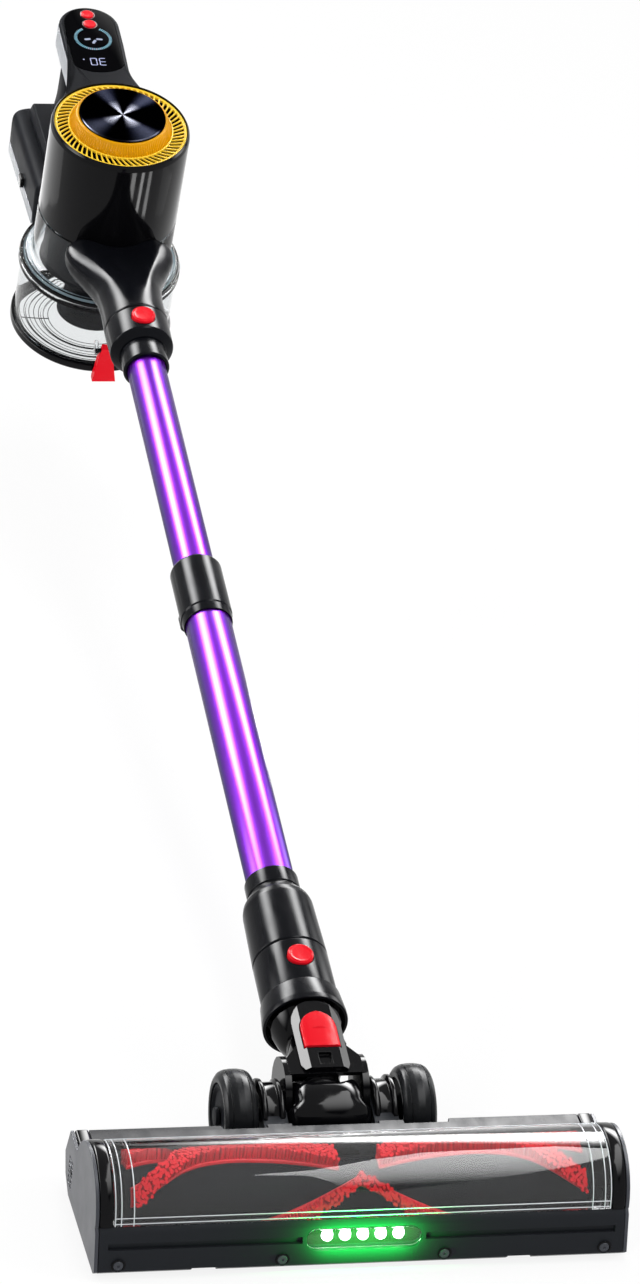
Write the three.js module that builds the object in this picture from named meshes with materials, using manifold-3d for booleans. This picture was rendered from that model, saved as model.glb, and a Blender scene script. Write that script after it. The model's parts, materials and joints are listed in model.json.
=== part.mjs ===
// Cordless stick vacuum: a floor head with a driven brush roll, a tilting and swivelling neck, a telescopic
// wand, and a hand-held cleaner with a cyclone dust cup, a slotted filter cap, a display and a battery.
//
// Millimetres, +Z up, +X across the head, +Y from the head back towards the handle. The origin is on the
// floor, at the middle of the glide strip under the head.
import * as THREE from 'three';
import { mergeVertices } from 'three/addons/utils/BufferGeometryUtils.js';
import Module from 'manifold-3d';

const wasm = await Module();
wasm.setup();

// ---------------------------------------------------------------- driving sizes

const GAP = 0.3; // clearance between two pieces that meet or run on each other
const SEAT = 0.5; // clearance between two pieces that slide or swing past each other
const ROUND = 28; // facets round the cleaner's cylinder and cup
const FINE = 20; // facets round a large turned piece
const MEDIUM = 16;
const COARSE = 10;

// Posture
const LEAN = 75; // how far the wand leans back from upright, in degrees
const AXLE_BACK = 44; // wheel axle behind the origin
const WHEEL_RADIUS = 28; // the axle is this high above the floor
const WAND_OFFSET = 8; // the wand's centre line passes this far above the axle

// Floor head, in its own frame: the axle is at Y = 0, forwards is -Y, the floor is Z = 0
const HEAD_WIDTH = 316;
const PANEL_THICKNESS = 2.2;
const CAP_WIDTH = 8;
const CHAMBER_Y = -82;
const CHAMBER_Z = 29;
const WINDOW_RADIUS = 33;
const WINDOW_WALL = 2;
const WINDOW_FRONT_ANGLE = 177.5; // degrees from the back, over the top
const WINDOW_REAR_ANGLE = 62.5;
const ARCH_REAR_ANGLE = 22;
const BUMPER_FRONT = -122;
const BUMPER_INNER = -111.5;
const BUMPER_TOP = 30;
const BUMPER_BOTTOM = 1.6;
const DECK_TOP = 41;
const DECK_FRONT = -48;
const DECK_REAR = -29.5;
const DECK_WALL = 2.4;
const REAR_FACE = -20.5;
const SOLE_BOTTOM = 1.6;
const SOLE_WALL = 2;
const GLIDE_LENGTH = 240;
const GLIDE_WIDTH = 8;
const MOUTH_MARGIN = 1; // the suction mouth reaches this far past each end of the brush roll
const MOUTH_DEPTH = 42;
const NOTCH_INNER = 86;
const NOTCH_OUTER = 101;

// Brush roll and its drive
const CORE_RADIUS = 19;
const SLEEVE_WALL = 1.3; // the sleeve on the core that holds the tuft strips
const BRISTLE_RADIUS = 28.4;
const BRISTLE_WIDTH = 6;
const BOW_WIDTH = 11;
const BRISTLE_STEP = 10; // length of a strip's facets
const BRISTLE_TWIST = 1.45; // degrees of turn for each millimetre along the roll
const BRISTLE_FRONT = 133;
const BRISTLE_BACK = -118;
const BOW_START = 12; // from the roll's middle to the two bowed strips
const BOW_TURNS = [[12, 97], [30, 84], [50, 72], [70, 66], [85, 72], [100, 88], [115, 115], [128, 140], [136, 152]]; // angle of the first strip's apex, in degrees from the back, over the top
const ROLL_END_ROOM = 10.5; // between the roll and each end cap, for the pulley
const JOURNAL_RADIUS = 4;
const ROLL_PULLEY_RADIUS = 12;
const MOTOR_PULLEY_RADIUS = 6;
const MOTOR_Y = -37;
const MOTOR_Z = 22.5;
const MOTOR_RADIUS = 12.2;
const BELT_THICKNESS = 1.5;

// Headlight
const LIGHT_HALF = 34.5;
const LIGHT_HEIGHT = 13.4;
const LIGHT_Z = 19;
const LED_COUNT = 5;
const LED_PITCH = 10.5;

// Neck
const NECK_CLEAR_RADIUS = 34.8; // the hollow of the head in which the neck turns
const BARREL_INNER = 26;
const BARREL_OUTER = 41;
const BARREL_RADIUS = 14;
const ARM_INNER = 21.5;
const ARM_THICKNESS = 4;
const PIN_RADIUS = 4;
const SWIVEL_S = 33; // swivel axis, along the wand from the axle
const SWIVEL_RADIUS = 17;
const LUG_INNER = 16.5;
const LUG_OUTER = 19.5;
const HOSE_RADIUS = 12.2;

// Wheels
const WHEEL_X = 54;
const WHEEL_WIDTH = 21;
const HUB_RADIUS = 19.8;

// Wand, measured along its own centre line from the axle
const SKIRT_S = 63;
const SLEEVE_S = 81;
const CONNECTOR_S = 115;
const SHOULDER_S = 162;
const CONNECTOR_END = 183;
const SPIGOT_RADIUS = 18.5;
const SPIGOT_END = 121;
const DUCT_BORE = 11.5;
const LOWER_TUBE_RADIUS = 15;
const LOWER_TUBE_START = 148;
const LOWER_TUBE_END = 450;
const UPPER_TUBE_RADIUS = 13.2;
const UPPER_TUBE_START = 352;
const UPPER_TUBE_END = 700;
const TUBE_WALL = 1.2;
const COLLAR_START = 416;
const COLLAR_END = 468;
const COLLAR_RADIUS = 17;
const TOP_RING_START = 670;
const BUTTON_RADIUS = 8;

// Cleaner, measured from where its cylinder's axis crosses the wand's centre line
const CLEANER_S = 844;
const DUCT_SLEEVE_START = 686.5;
const DUCT_SEAM = 713;
const DUCT_RADIUS = 22.1;
const BODY_RADIUS = 48.5;
const BODY_TOP = 75;
const BODY_WALL = 2.6;
const RING_STEP = 2.3; // the yellow ring lies this far inside the cylinder
const RING_TOP = 73.7;
const SLOT_COUNT = 72;
const SLOT_INNER = 37;
const SLOT_RIM = 1.6; // left outside the slots
const SLOT_WIDTH = 1.7;
const SLOT_SWIRL = 9; // degrees between a slot's inner and outer end
const PLEAT_DEPTH = 7.2;
const PLEAT_WALL = 3.4;
const SHROUD_RADIUS = 26;
const SHROUD_WALL = 4;
const CONE_RADIUS = 35;
const CONE_FOOT = -38; // the cone's straight part ends here
const SHROUD_TOP = -44;
const SHROUD_BOTTOM = -82;
const SKIRT_TOP = 82;
const DISC_RADIUS = 29.9;
const CUP_RADIUS = 55;
const CUP_WALL = 2;
const FLANGE_RADIUS = 57;
const FLANGE_TOP = -39;
const CUP_BOTTOM = -95;
const LID_RADIUS = 57;
const LID_BOTTOM = -101;
const LID_HINGE_Y = 60.5;
const LID_HINGE_Z = -97;

// Handle and battery, in the cleaner's frame
const DISPLAY_TOP = 60;
const HEAD_DEPTH = 17;
const HANDLE_HALF = 21.5;
const HANDLE_END = 155;
const GRIP_Y = 126;
const BATTERY_TILT = 8; // degrees, back end down
const BATTERY_HALF = 38;
const BATTERY_LENGTH = 115;
const BATTERY_HEIGHT = 40;
const BATTERY_FRONT = 60;
const BATTERY_TOP = -27;

// ---------------------------------------------------------------- helpers

const rad = THREE.MathUtils.degToRad;

const finishes = {
  glossBlack: new THREE.MeshStandardMaterial({ color: 0x101114, roughness: 0.15 }),
  matteBlack: new THREE.MeshStandardMaterial({ color: 0x232428, roughness: 0.5 }),
  grey: new THREE.MeshStandardMaterial({ color: 0x4a4b50, roughness: 0.45 }),
  purple: new THREE.MeshStandardMaterial({ color: 0x5b2a9c, roughness: 0.25, metalness: 0.9 }),
  red: new THREE.MeshStandardMaterial({ color: 0xe5252f, roughness: 0.3 }),
  yellow: new THREE.MeshStandardMaterial({ color: 0xf2bb1d, roughness: 0.4 }),
  clear: new THREE.MeshStandardMaterial({ color: 0xcfd6da, roughness: 0.1, transparent: true, opacity: 0.35 }),
  steel: new THREE.MeshStandardMaterial({ color: 0xb4b6ba, roughness: 0.3, metalness: 1 }),
  darkMetal: new THREE.MeshStandardMaterial({ color: 0x3c3e45, roughness: 0.3, metalness: 0.9 }),
  rubber: new THREE.MeshStandardMaterial({ color: 0x1d1e21, roughness: 0.8 }),
  filter: new THREE.MeshStandardMaterial({ color: 0xe8e6df, roughness: 0.9 }),
  green: new THREE.MeshStandardMaterial({ color: 0x30e060, roughness: 0.3 }),
};

// Only positions, shared corners, no empty triangles, faces pointing out.
function welded(source) {
  const plain = source.index ? source.toNonIndexed() : source.clone();
  for (const name of Object.keys(plain.attributes)) {
    if (name !== 'position') plain.deleteAttribute(name);
  }
  const merged = mergeVertices(plain, 1e-4);
  const place = merged.attributes.position;
  const index = merged.index.array;
  const kept = [];
  const a = new THREE.Vector3();
  const b = new THREE.Vector3();
  const c = new THREE.Vector3();
  let volume = 0;
  for (let i = 0; i < index.length; i += 3) {
    const [p, q, r] = [index[i], index[i + 1], index[i + 2]];
    if (p === q || q === r || r === p) continue;
    kept.push(p, q, r);
    a.fromBufferAttribute(place, p);
    b.fromBufferAttribute(place, q);
    c.fromBufferAttribute(place, r);
    volume += a.dot(b.cross(c));
  }
  if (volume < 0) kept.reverse();
  merged.setIndex(kept);
  return merged;
}

function toSolid(geometry) {
  const clean = welded(geometry);
  return new wasm.Manifold(
    new wasm.Mesh({
      numProp: 3,
      vertProperties: new Float32Array(clean.attributes.position.array),
      triVerts: new Uint32Array(clean.index.array),
    }),
  );
}

function toGeometry(solid) {
  const result = solid.getMesh();
  const geometry = new THREE.BufferGeometry();
  geometry.setAttribute('position', new THREE.BufferAttribute(new Float32Array(result.vertProperties), 3));
  geometry.setIndex(new THREE.BufferAttribute(new Uint32Array(result.triVerts), 1));
  return geometry;
}

// The first shape joined with the others.
function join(first, ...others) {
  let solid = toSolid(first);
  for (const other of others) solid = solid.add(toSolid(other));
  return toGeometry(solid);
}

// The first shape less each tool.
function cut(first, ...tools) {
  let solid = toSolid(first);
  for (const tool of tools) solid = solid.subtract(toSolid(tool));
  return toGeometry(solid);
}

function common(first, second) {
  return toGeometry(toSolid(first).intersect(toSolid(second)));
}

function moved(geometry, x, y, z) {
  return geometry.clone().translate(x, y, z);
}

// The mirror image across X = 0.
function mirrored(geometry) {
  const copy = geometry.clone();
  copy.scale(-1, 1, 1);
  return welded(copy);
}

// A solid of revolution about Z from [radius, height] points that start and end on the axis or close up.
function turned(profile, facets = FINE) {
  const points = profile.map(([r, z]) => new THREE.Vector2(r, z));
  return welded(new THREE.LatheGeometry(points, facets).rotateX(Math.PI / 2));
}

// A turned ring: the profile is closed on itself, away from the axis.
function ring(profile, facets = FINE) {
  return turned([...profile, profile[0]], facets);
}

function tubeRing(outer, inner, low, high, facets = FINE) {
  return ring([[inner, low], [outer, low], [outer, high], [inner, high]], facets);
}

function rod(radius, low, high, facets = MEDIUM) {
  return turned([[0, low], [radius, low], [radius, high], [0, high]], facets);
}

const alongX = (geometry) => geometry.clone().rotateY(Math.PI / 2);
const alongY = (geometry) => geometry.clone().rotateX(-Math.PI / 2);

function box(x0, x1, y0, y1, z0, z1) {
  const geometry = new THREE.BoxGeometry(x1 - x0, y1 - y0, z1 - z0);
  return geometry.translate((x0 + x1) / 2, (y0 + y1) / 2, (z0 + z1) / 2);
}

function flatShape(points, holes = []) {
  const shape = new THREE.Shape(points.map(([x, y]) => new THREE.Vector2(x, y)));
  for (const hole of holes) {
    shape.holes.push(new THREE.Path(hole.map(([x, y]) => new THREE.Vector2(x, y))));
  }
  return shape;
}

// An outline in X and Y, from low to high along Z.
function prismZ(points, low, high, holes = []) {
  const settings = { depth: high - low, bevelEnabled: false, curveSegments: 1 };
  return welded(new THREE.ExtrudeGeometry(flatShape(points, holes), settings).translate(0, 0, low));
}

// An outline in Y and Z, from low to high along X.
function prismX(points, low, high, holes = []) {
  const geometry = prismZ(points, low, high, holes);
  const axes = new THREE.Matrix4().makeBasis(
    new THREE.Vector3(0, 1, 0),
    new THREE.Vector3(0, 0, 1),
    new THREE.Vector3(1, 0, 0),
  );
  return welded(geometry.applyMatrix4(axes));
}

// An outline in X and Z, from low to high along Y.
function prismY(points, low, high, holes = []) {
  const geometry = prismZ(points, -high, -low, holes);
  return welded(geometry.rotateX(Math.PI / 2));
}

// Points on an arc, angles in degrees.
function arc(cx, cy, radius, from, to, steps) {
  const points = [];
  for (let i = 0; i <= steps; i += 1) {
    const angle = rad(from + ((to - from) * i) / steps);
    points.push([cx + radius * Math.cos(angle), cy + radius * Math.sin(angle)]);
  }
  return points;
}

function circle(cx, cy, radius, steps = COARSE) {
  return arc(cx, cy, radius, 0, 360 - 360 / steps, steps - 1);
}

// The outline of a band stretched round two circles.
function bandOutline(ax, ay, ra, bx, by, rb, steps = 10) {
  const along = (Math.atan2(by - ay, bx - ax) * 180) / Math.PI;
  const spread = (Math.acos((ra - rb) / Math.hypot(bx - ax, by - ay)) * 180) / Math.PI;
  return [
    ...arc(ax, ay, ra, along + spread, along + 360 - spread, steps),
    ...arc(bx, by, rb, along - spread, along + spread, steps),
  ];
}

// A rectangle with round ends, centred, its long way along the first axis.
function stadium(cx, cy, half, height, steps = 8) {
  const r = height / 2;
  return [...arc(cx + half - r, cy, r, -90, 90, steps), ...arc(cx - half + r, cy, r, 90, 270, steps)];
}

function roundedBox(cx, cy, halfX, halfY, radius, steps = 4) {
  return [
    ...arc(cx + halfX - radius, cy + halfY - radius, radius, 0, 90, steps),
    ...arc(cx - halfX + radius, cy + halfY - radius, radius, 90, 180, steps),
    ...arc(cx - halfX + radius, cy - halfY + radius, radius, 180, 270, steps),
    ...arc(cx + halfX - radius, cy - halfY + radius, radius, 270, 360, steps),
  ];
}

// A closed solid through rings of points, all with the same count, closed by a fan at both ends.
function loft(rings) {
  const count = rings[0].length;
  const places = rings.flat(2);
  const index = [];
  for (let i = 0; i + 1 < rings.length; i += 1) {
    for (let j = 0; j < count; j += 1) {
      const k = (j + 1) % count;
      const [a, b] = [i * count + j, i * count + k];
      index.push(a, b, b + count, a, b + count, a + count);
    }
  }
  const middle = (points) => [0, 1, 2].map((axis) => points.reduce((sum, p) => sum + p[axis], 0) / count);
  const last = (rings.length - 1) * count;
  const centre = rings.length * count;
  places.push(...middle(rings[0]), ...middle(rings.at(-1)));
  for (let j = 0; j < count; j += 1) {
    const k = (j + 1) % count;
    index.push(centre, k, j, centre + 1, last + j, last + k);
  }
  const geometry = new THREE.BufferGeometry();
  geometry.setAttribute('position', new THREE.Float32BufferAttribute(places, 3));
  geometry.setIndex(index);
  return welded(geometry);
}

// A superellipse: sideways half size, upward half size, downward half size, squareness.
function roundedRing(halfX, up, down, power, steps, place) {
  const points = [];
  for (let i = 0; i < steps; i += 1) {
    const angle = (2 * Math.PI * i) / steps;
    const [c, s] = [Math.cos(angle), Math.sin(angle)];
    const x = halfX * Math.sign(c) * Math.abs(c) ** (2 / power);
    const y = (s > 0 ? up : down) * Math.sign(s) * Math.abs(s) ** (2 / power);
    points.push(place(x, y));
  }
  return points;
}

// ---------------------------------------------------------------- groups

const vacuum = new THREE.Group();
const head = new THREE.Group();
head.position.y = AXLE_BACK;
const neck = new THREE.Group(); // turns about the axle
neck.position.set(0, AXLE_BACK, WHEEL_RADIUS);
neck.rotation.x = -rad(LEAN);
const line = new THREE.Group(); // its Z is the wand's centre line, its -Y the cleaner's upper side
line.position.y = -WAND_OFFSET;
const cleaner = new THREE.Group(); // its Z is the cylinder's axis, its Y points back
cleaner.position.z = CLEANER_S;
cleaner.rotation.x = Math.PI / 2;
vacuum.add(head, neck);
neck.add(line);
line.add(cleaner);

function add(group, name, geometry, material) {
  const mesh = new THREE.Mesh(welded(geometry), material);
  mesh.name = name;
  group.add(mesh);
  return mesh;
}

// ---------------------------------------------------------------- floor head

const CAP_OUTER = HEAD_WIDTH / 2 - PANEL_THICKNESS - GAP;
const CAP_INNER = CAP_OUTER - CAP_WIDTH;
const SHELL_HALF = CAP_INNER - GAP; // half length of what lies between the end caps
const CHAMBER_RADIUS = WINDOW_RADIUS - WINDOW_WALL;
const ROLL_HALF = CAP_INNER - ROLL_END_ROOM;
const MOUTH_HALF = ROLL_HALF + MOUTH_MARGIN;

function chamberArc(radius, from, to, steps) {
  return arc(CHAMBER_Y, CHAMBER_Z, radius, from, to, steps);
}

function chamberRod(radius, low, high, facets = FINE) {
  return moved(alongX(rod(radius, low, high, facets)), 0, CHAMBER_Y, CHAMBER_Z);
}

// The bumper's sloping front, from its lower edge up.
const bumperFace = [
  [BUMPER_FRONT + 3.5, BUMPER_BOTTOM],
  [BUMPER_FRONT, BUMPER_BOTTOM + 3],
  [BUMPER_FRONT + 5.4, BUMPER_TOP - 3],
  [BUMPER_FRONT + 8, BUMPER_TOP],
];

// The rounded lower rear of the housing, from the deck's rear edge down to the sole.
const rearSlope = [
  [REAR_FACE, 22],
  [REAR_FACE - 5.5, 9.5],
  [REAR_FACE - 17.5, SOLE_BOTTOM + SOLE_WALL + GAP],
];

function headBase() {
  const blockTop = DECK_TOP - DECK_WALL - GAP;
  const blockBottom = SOLE_BOTTOM + SOLE_WALL + GAP;
  const bumper = prismX([...bumperFace, [BUMPER_INNER, BUMPER_TOP], [BUMPER_INNER, BUMPER_BOTTOM]],
    -CAP_OUTER, CAP_OUTER);
  const rear = prismX(
    [[CHAMBER_Y + 18, blockBottom], ...rearSlope.toReversed(), [DECK_REAR + 1, blockTop], [DECK_FRONT - 12, blockTop]],
    -SHELL_HALF, SHELL_HALF);
  const endTop = BUMPER_TOP - GAP;
  const endOutline = [[BUMPER_INNER - 1, BUMPER_BOTTOM], [DECK_FRONT - 12, BUMPER_BOTTOM],
    ...rearSlope.toReversed(), [REAR_FACE - 4, endTop], [BUMPER_INNER - 1, endTop]];
  const end = prismX(endOutline, SHELL_HALF - 1, CAP_OUTER);
  const barrel = prismX(bandOutline(0, WHEEL_RADIUS, BARREL_RADIUS, DECK_REAR, 20, BARREL_RADIUS),
    BARREL_INNER, BARREL_OUTER);
  let base = join(bumper, rear, end, mirrored(end), barrel, mirrored(barrel));

  const bearingSide = CAP_INNER + CAP_WIDTH / 2 + GAP;
  const chamber = chamberRod(CHAMBER_RADIUS, -bearingSide, bearingSide);
  const neckHollow = moved(alongX(rod(NECK_CLEAR_RADIUS, -BARREL_INNER, BARREL_INNER, ROUND)), 0, 0, WHEEL_RADIUS);
  const pinHole = moved(alongX(rod(PIN_RADIUS + GAP, -BARREL_OUTER - 1, BARREL_OUTER + 1, COARSE)), 0, 0, WHEEL_RADIUS);
  const wheelOuter = WHEEL_X + WHEEL_WIDTH / 2 + 3;
  const pocket = prismZ([[BARREL_OUTER + GAP, DECK_REAR - 3.5], [wheelOuter, DECK_REAR - 3.5],
    [wheelOuter + 10, 0], [BARREL_OUTER + GAP, 0]], 0, DECK_TOP);
  const outlet = moved(alongY(rod(HOSE_RADIUS, 0, 40, MEDIUM)), 0, -62, WHEEL_RADIUS);
  const motorBay = moved(alongX(rod(MOTOR_RADIUS + GAP, -SHELL_HALF - 1, -70)), 0, MOTOR_Y, MOTOR_Z);
  const beltSlot = box(-SHELL_HALF - 1, -ROLL_HALF - 2, CHAMBER_Y + 20, MOTOR_Y + 9, 12, blockTop - 2);
  base = cut(base, chamber, neckHollow, pinHole, pocket, mirrored(pocket), outlet, motorBay, beltSlot);

  const lightPocket = prismY(stadium(0, LIGHT_Z, LIGHT_HALF, LIGHT_HEIGHT, 6), BUMPER_FRONT, BUMPER_INNER - 1.4);
  const groove = box(LIGHT_HALF + 2, SHELL_HALF + 3, BUMPER_FRONT - 1, BUMPER_FRONT + 5.4, LIGHT_Z - 2, LIGHT_Z + 2);
  const notch = box(NOTCH_INNER, NOTCH_OUTER, BUMPER_FRONT - 1, BUMPER_INNER + 1, 0, 5);
  return cut(base, lightPocket, groove, mirrored(groove), notch, mirrored(notch));
}

// The plate under the head, with the suction mouth that the brush roll shows through.
function solePlate() {
  const front = BUMPER_INNER + GAP;
  const rear = REAR_FACE - 17.5;
  const corner = 3;
  const outline = roundedBox(0, (front + rear) / 2, SHELL_HALF - 1.3, (rear - front) / 2, corner, 2);
  const mouth = roundedBox(0, CHAMBER_Y - 1, MOUTH_HALF, MOUTH_DEPTH / 2, corner, 2);
  return prismZ(outline, SOLE_BOTTOM, SOLE_BOTTOM + SOLE_WALL, [mouth]);
}

// The dark rear deck with the back part of the arch; it stops at the wheels and the neck.
function headCover() {
  const outline = [
    ...chamberArc(WINDOW_RADIUS, WINDOW_REAR_ANGLE - 0.5, ARCH_REAR_ANGLE, 4),
    [DECK_FRONT, DECK_TOP - 0.4],
    [DECK_REAR, DECK_TOP],
    [DECK_REAR + 1, DECK_TOP - DECK_WALL],
    [DECK_FRONT - 2.2, DECK_TOP - DECK_WALL],
    ...chamberArc(CHAMBER_RADIUS, ARCH_REAR_ANGLE - 4, WINDOW_REAR_ANGLE - 0.5, 4),
  ];
  const cover = prismX(outline, -SHELL_HALF, SHELL_HALF);
  const wheelOuter = WHEEL_X + WHEEL_WIDTH / 2 + 3;
  const pocket = prismZ([[BARREL_OUTER + GAP, DECK_REAR - 3.5], [wheelOuter, DECK_REAR - 3.5],
    [wheelOuter + 10, 0], [BARREL_OUTER + GAP, 0]], 0, DECK_TOP + 1);
  const neckHollow = moved(alongX(rod(NECK_CLEAR_RADIUS, -BARREL_INNER, BARREL_INNER, ROUND)), 0, 0, WHEEL_RADIUS);
  return cut(cover, pocket, mirrored(pocket), neckHollow);
}

function brushWindow() {
  const outline = [
    ...chamberArc(WINDOW_RADIUS, WINDOW_REAR_ANGLE, WINDOW_FRONT_ANGLE, 14),
    ...chamberArc(CHAMBER_RADIUS, WINDOW_FRONT_ANGLE, WINDOW_REAR_ANGLE, 14),
  ];
  return prismX(outline, -SHELL_HALF, SHELL_HALF);
}

// The side profile above the bumper: arch, step and deck.
function archOutline(radius, rise, bottom) {
  return [
    ...chamberArc(radius, ARCH_REAR_ANGLE, WINDOW_FRONT_ANGLE, 14),
    [CHAMBER_Y - radius, bottom],
    [REAR_FACE - 4, bottom],
    [DECK_REAR, DECK_TOP + rise],
    [DECK_FRONT, DECK_TOP - 0.4 + rise],
  ].toReversed();
}

// The glossy cap at one end of the window, with the plate that carries the brush roll's journal.
function endCap() {
  const band = prismX(archOutline(WINDOW_RADIUS + 0.4, 0.4, BUMPER_TOP + GAP), CAP_INNER, CAP_OUTER);
  const plate = common(
    chamberRod(CHAMBER_RADIUS - GAP, CAP_INNER, CAP_INNER + CAP_WIDTH / 2),
    box(CAP_INNER, CAP_OUTER, CHAMBER_Y - 40, CHAMBER_Y + 40, 0, BUMPER_TOP + 1),
  );
  const bore = chamberRod(JOURNAL_RADIUS + GAP, CAP_INNER - 1, CAP_INNER + CAP_WIDTH / 2, COARSE);
  return cut(join(band, plate), bore);
}

// The matt plate over one end, with two columns of vents low at the rear.
function sidePanel() {
  const outline = [
    ...bumperFace,
    ...chamberArc(WINDOW_RADIUS, WINDOW_FRONT_ANGLE, ARCH_REAR_ANGLE, 14),
    [DECK_FRONT, DECK_TOP - 1.2],
    [DECK_REAR, DECK_TOP],
    ...rearSlope.slice(0, 2),
    [REAR_FACE - 17.5, BUMPER_BOTTOM],
  ];
  const plate = prismX(outline, CAP_OUTER + GAP, HEAD_WIDTH / 2);
  const vents = [];
  for (let row = 0; row < 6; row += 1) {
    for (const column of [-44, -38]) {
      const [y, z] = [column, 9 + row * 3.2];
      vents.push(box(CAP_OUTER, HEAD_WIDTH / 2 + 1, y, y + 4.2, z, z + 1.6));
    }
  }
  return cut(plate, ...vents);
}

function lightStrip() {
  const back = BUMPER_INNER - 1.4 - GAP;
  const board = box(-LIGHT_HALF + 6, LIGHT_HALF - 6, back - 1, back, LIGHT_Z - 4, LIGHT_Z + 4);
  const lamps = [];
  for (let i = 0; i < LED_COUNT; i += 1) {
    const x = (i - (LED_COUNT - 1) / 2) * LED_PITCH;
    const lamp = alongY(turned([[0, -1], [3.8, -1], [3.8, 0.9], [0, 1.8]], COARSE)).rotateZ(Math.PI);
    lamps.push(moved(lamp, x, back - 1, LIGHT_Z));
  }
  return join(board, ...lamps);
}

function lightLens() {
  const back = BUMPER_INNER - 1.4 - GAP - 1 - 1.8 - GAP;
  return prismY(stadium(0, LIGHT_Z, LIGHT_HALF - GAP, LIGHT_HEIGHT - 2 * GAP, 6), back - 1.8, back);
}

add(head, 'head_base', headBase(), finishes.matteBlack);
add(head, 'sole_plate', solePlate(), finishes.grey);
add(head, 'glide_strip', prismZ(roundedBox(0, -AXLE_BACK, GLIDE_LENGTH / 2, GLIDE_WIDTH / 2, 2, 2), 0, SOLE_BOTTOM - GAP),
  finishes.rubber);
add(head, 'head_cover', headCover(), finishes.grey);
add(head, 'brush_window', brushWindow(), finishes.clear);
add(head, 'end_cap_right', endCap(), finishes.glossBlack);
add(head, 'end_cap_left', mirrored(endCap()), finishes.glossBlack);
add(head, 'side_panel_right', sidePanel(), finishes.grey);
add(head, 'side_panel_left', mirrored(sidePanel()), finishes.grey);
add(head, 'light_strip', lightStrip(), finishes.green);
add(head, 'light_lens', lightLens(), finishes.clear);

// ---------------------------------------------------------------- brush roll and its drive

function brushCore() {
  const pulley = ROLL_HALF + 2.6;
  const profile = [
    [0, -CAP_INNER - 3.4], [JOURNAL_RADIUS, -CAP_INNER - 3.4], [JOURNAL_RADIUS, -pulley - 6.6],
    [ROLL_PULLEY_RADIUS + 2, -pulley - 6.6], [ROLL_PULLEY_RADIUS + 2, -pulley - 5.6],
    [ROLL_PULLEY_RADIUS, -pulley - 5.6], [ROLL_PULLEY_RADIUS, -pulley],
    [ROLL_PULLEY_RADIUS + 2, -pulley], [ROLL_PULLEY_RADIUS + 2, -ROLL_HALF],
    [CORE_RADIUS, -ROLL_HALF], [CORE_RADIUS, ROLL_HALF],
    [JOURNAL_RADIUS, ROLL_HALF + 2], [JOURNAL_RADIUS, CAP_INNER + 3.4], [0, CAP_INNER + 3.4],
  ];
  return moved(alongX(turned(profile, MEDIUM)), 0, CHAMBER_Y, CHAMBER_Z);
}

// The value between a table's rows, each a place and its value.
function between(table, place) {
  const next = Math.max(1, table.findIndex(([at]) => at >= place));
  const [a, b] = [table[next - 1], table[next]];
  return a[1] + ((b[1] - a[1]) * (place - a[0])) / (b[0] - a[0]);
}

// One tuft strip along the roll. turnAt gives its angle, from the back over the top, at a distance from the
// roll's middle.
function bristleStrip(low, high, width, turnAt) {
  const steps = Math.round((high - low) / BRISTLE_STEP);
  const rings = [];
  for (let i = 0; i <= steps; i += 1) {
    const x = low + ((high - low) * i) / steps;
    const angle = rad(turnAt(Math.abs(x)));
    const corner = (radius, side) => {
      const turn = angle + (side * width) / 2 / radius;
      return [x, CHAMBER_Y + radius * Math.cos(turn), CHAMBER_Z + radius * Math.sin(turn)];
    };
    const root = CORE_RADIUS + GAP + SLEEVE_WALL * 0.7;
    const tips = [1, 0, -1].map((side) => corner(BRISTLE_RADIUS, side));
    rings.push([...[-1, 0, 1].map((side) => corner(root, side)), ...tips]);
  }
  return loft(rings);
}

// The sleeve pressed on the core, with its tuft strips: two V's and a bow at each side.
function bristleSleeve() {
  const inner = CORE_RADIUS + GAP;
  const tube = tubeRing(inner + SLEEVE_WALL, inner, -ROLL_HALF + 1, ROLL_HALF - 1, ROUND);
  const reach = ROLL_HALF - 2;
  const winding = (start) =>
    bristleStrip(-reach, reach, BRISTLE_WIDTH, (distance) => start + BRISTLE_TWIST * distance);
  const bow = bristleStrip(BOW_START, reach, BOW_WIDTH, (distance) => between(BOW_TURNS, distance));
  const sleeve = moved(alongX(tube), 0, CHAMBER_Y, CHAMBER_Z);
  return join(sleeve, winding(BRISTLE_FRONT), winding(BRISTLE_BACK), bow, mirrored(bow));
}

const PULLEY_LOW = -ROLL_HALF - 8;
const PULLEY_HIGH = -ROLL_HALF - 3;

function brushMotor() {
  const can = rod(MOTOR_RADIUS, -ROLL_HALF - 1, -74, MEDIUM);
  const shaft = rod(2, -CAP_INNER + 1, -ROLL_HALF + 2, 16);
  return moved(alongX(join(can, shaft)), 0, MOTOR_Y, MOTOR_Z);
}

function motorPulley() {
  const profile = [[2 + GAP, PULLEY_LOW], [MOTOR_PULLEY_RADIUS, PULLEY_LOW], [MOTOR_PULLEY_RADIUS, PULLEY_HIGH],
    [2 + GAP, PULLEY_HIGH]];
  return moved(alongX(ring(profile, COARSE)), 0, MOTOR_Y, MOTOR_Z);
}

function driveBelt() {
  const band = (extra) => bandOutline(CHAMBER_Y, CHAMBER_Z, ROLL_PULLEY_RADIUS + extra,
    MOTOR_Y, MOTOR_Z, MOTOR_PULLEY_RADIUS + extra);
  return prismX(band(GAP + BELT_THICKNESS), PULLEY_LOW + 0.4, PULLEY_HIGH - 0.4, [band(GAP)]);
}

add(head, 'brush_core', brushCore(), finishes.matteBlack);
add(head, 'bristle_sleeve', bristleSleeve(), finishes.red);
add(head, 'brush_motor', brushMotor(), finishes.steel);
add(head, 'motor_pulley', motorPulley(), finishes.matteBlack);
add(head, 'drive_belt', driveBelt(), finishes.rubber);

// ---------------------------------------------------------------- wheels and neck

const WHEEL_INNER = WHEEL_X - WHEEL_WIDTH / 2;
const WHEEL_OUTER = WHEEL_X + WHEEL_WIDTH / 2;

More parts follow.
